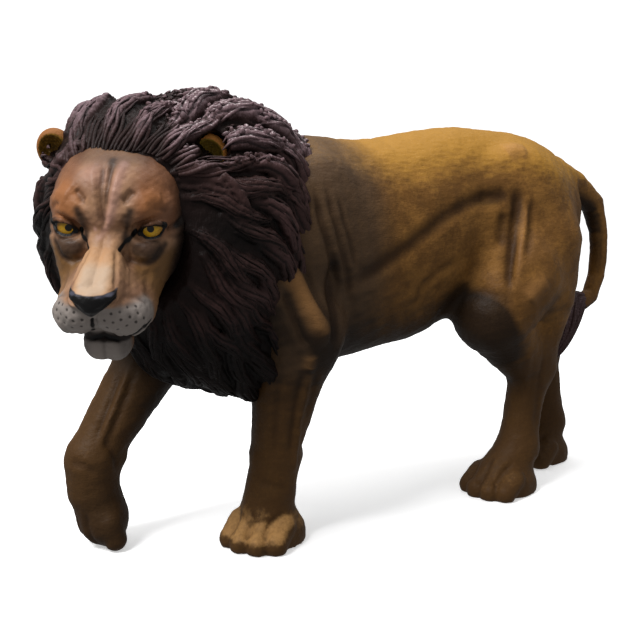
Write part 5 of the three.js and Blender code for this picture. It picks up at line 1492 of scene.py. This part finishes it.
turn = node("FunctionNodeRotateRotation", {"rotation_space": "LOCAL"}, {
    "Rotation": facing,
    "Rotate By": node("FunctionNodeEulerToRotation", {}, {"Euler": spin})})
scale = node("FunctionNodeRandomValue", {"data_type": "FLOAT_VECTOR"}, {
    "Min": (0.7, 0.6, 0.5), "Max": (1.5, 1.0, 0.95), "Seed": wool_maker.size("Seed") + 1})
nubs = node("GeometryNodeInstanceOnPoints", {}, {
    "Points": scattered, "Instance": nub, "Rotation": turn, "Scale": scale})
nubs = node("GeometryNodeRealizeInstances", {}, [nubs])
nubs = node("GeometryNodeSetShadeSmooth", {}, {"Geometry": nubs})
noise = node("ShaderNodeTexNoise", {}, {"Scale": 520.0, "Detail": 1.0}, output="Color")
push = node("ShaderNodeVectorMath", {"operation": "SUBTRACT"}, [noise, (0.5, 0.5, 0.5)])
push = node("ShaderNodeVectorMath", {"operation": "SCALE"}, {0: push, "Scale": 1.6 * MM})
wool_maker.end(node("GeometryNodeSetPosition", {}, {"Geometry": nubs, "Offset": push}), mane_paint)

nubs = wool_maker.run("crown_wool", bpy.data.objects["mane_crown_locks"].data.copy())
add_masks(nubs.data, hair_masks)
dress(nubs, mane_paint)

# %% [markdown]
# ## The tuft
# A tuft of long hair ends the tail and is luted on by itself. It is one thick roll of clay that tapers to its
# tip, with grooves that wind down it, and the same tree as before lays strands round it.

# %% The tail's tuft
TUFT_LENGTH = 40.0


def tuft_line(shares):
    return np.stack([TAIL_REACH - 16 - shares * TUFT_LENGTH * 0.75, -3 - shares * TUFT_LENGTH * 0.17,
                     TUFT_Z + 1 - shares * TUFT_LENGTH * 0.7], 1)


TUFT_SHARES = np.array([0, 0.3, 0.6, 0.88, 1])
TUFT_RADII = [4.95, 6.45, 7.05, 4.95, 1.9]
tuft_clay = Clay().limb(tuft_line(TUFT_SHARES), TUFT_RADII, 3)


def tuft_relief(points, directions):
    away, along = to_line(points, tuft_line(np.array([0, 1])), [0, 0])
    turn = np.arctan2(points[:, 1] + 3 + 6.8 * along, points[:, 2] - TUFT_Z - 1 + 28 * along)
    return -0.9 * np.exp(-(np.sin(3.5 * turn + 5 * along) / 0.45) ** 2) + 0.12 * soft_waves(points, 3, seed=21)


def tuft_masks(points, normals):
    """The tuft hangs free, so its left side and top get a painted highlight, and it is not sunk in painted shade like
    the chest.
    """
    masks = hair_masks(points, normals)
    masks["crown"] = 0.55 * smooth_step(0.5 * normals[:, 2] - normals[:, 1], 0.45, 1.1)
    masks["deep"] = 0.6 * smooth_step(-normals[:, 2], 0, 0.8)
    return masks


tuft_points, tuft_faces, tuft_normals = skin(tuft_clay, (75, -35, 40), (140, 15, 100), 0.8, tuft_relief)
tuft = make_piece("tuft_locks", tuft_points, tuft_faces, tuft_normals, tuft_masks(tuft_points, tuft_normals))
dress(tuft, mane_paint, "tail_tuft")

# %% Strands round the tuft
TUFT_STRANDS = 14
shares = np.linspace(0.02, 0.98, 7)
spine, round_here = tuft_line(shares), np.interp(shares, TUFT_SHARES, TUFT_RADII)
down = tuft_line(np.array([0, 1]))
down = (down[1] - down[0]) / np.linalg.norm(down[1] - down[0])
level = np.cross(down, (0, 0, 1))
level /= np.linalg.norm(level)
rows, radii = [], []
for number in range(TUFT_STRANDS):
    angle = 2 * math.pi * number / TUFT_STRANDS + 1.3 * shares + 0.2 * np.sin(6 * shares + number)
    out = np.cos(angle)[:, None] * level + np.sin(angle)[:, None] * np.cross(level, down)
    rows.append(spine + (round_here - 0.3)[:, None] * out)
    radii.append(np.array([0.5, 1.0, 1.2, 1.2, 1.1, 0.8, 0.3]))
sweep_strands("tuft_strands", rows, radii, tuft_masks)

# %% [markdown]
# ## Floor and light
# The photograph is a studio shot: a white sweep, a large soft light from above and the left, and little
# light from below. The floor runs up behind the object in one curve, so that no horizon shows.

# %% The sweep
RADIUS, DEPTH, WIDE, TALL = 0.6, 1.6, 4.0, 2.6
profile = [(-2.2, 0.0), (DEPTH - RADIUS, 0.0)]
profile += [(DEPTH - RADIUS + RADIUS * math.sin(a), RADIUS - RADIUS * math.cos(a))
            for a in np.linspace(0, math.pi / 2, 16)[1:]]
profile.append((DEPTH, TALL))
across = Vector(rightwards)
backwards = Vector((-math.sin(CAMERA_AZIMUTH), math.cos(CAMERA_AZIMUTH), 0))
points = [tuple(backwards * d + across * side * WIDE + Vector((0, 0, h))) for d, h in profile for side in (-1, 1)]
sweep_mesh = bpy.data.meshes.new("sweep")
sweep_mesh.from_pydata(points, [], [(2 * i, 2 * i + 1, 2 * i + 3, 2 * i + 2) for i in range(len(profile) - 1)])
sweep_mesh.shade_smooth()
sweep = new_object("sweep", sweep_mesh)
paint = Paint("white_sweep", 0.9)
paint.shader.inputs["Emission Color"].default_value = (1, 1, 1, 1)
paint.shader.inputs["Emission Strength"].default_value = 0.45
paint.base("F4F4F4", "FAFAFA", paint.noise(400, 2))
sweep_mesh.materials.append(paint.finish())
sweep.visible_diffuse = sweep.visible_glossy = False


# %% The lights
LIT_PLACE = Vector((0.0, 0.0, 0.09))


def soft_light(name, place, power, size):
    lamp = bpy.data.lights.new(name, "AREA")
    lamp.energy, lamp.size = power, size
    light = new_object(name, lamp)
    light.location = place
    light.rotation_euler = (LIT_PLACE - Vector(place)).to_track_quat("-Z", "Y").to_euler()
    print(name, "light of", power, "watts")


soft_light("key", (-0.86, -0.22, 1.13), 21, 0.5)
soft_light("top", (0.25, 0.25, 1.3), 9, 1.0)
world = bpy.data.worlds.new("studio")
world.use_nodes = True
studio = Nodes(world.node_tree)
rays = studio.node("ShaderNodeLightPath", output="Is Camera Ray")
background = world.node_tree.nodes["Background"]
world.node_tree.links.new((rays * 0.65 + 0.35).socket, background.inputs["Strength"])
background.inputs["Color"].default_value = (1, 1, 1, 1)
bpy.context.scene.world = world
bpy.context.scene.view_settings.view_transform = "Standard"

# %% [markdown]
# ## How the skins fit
# Skins and strands are laid over the castings, so both boxes should agree to about a millimetre.
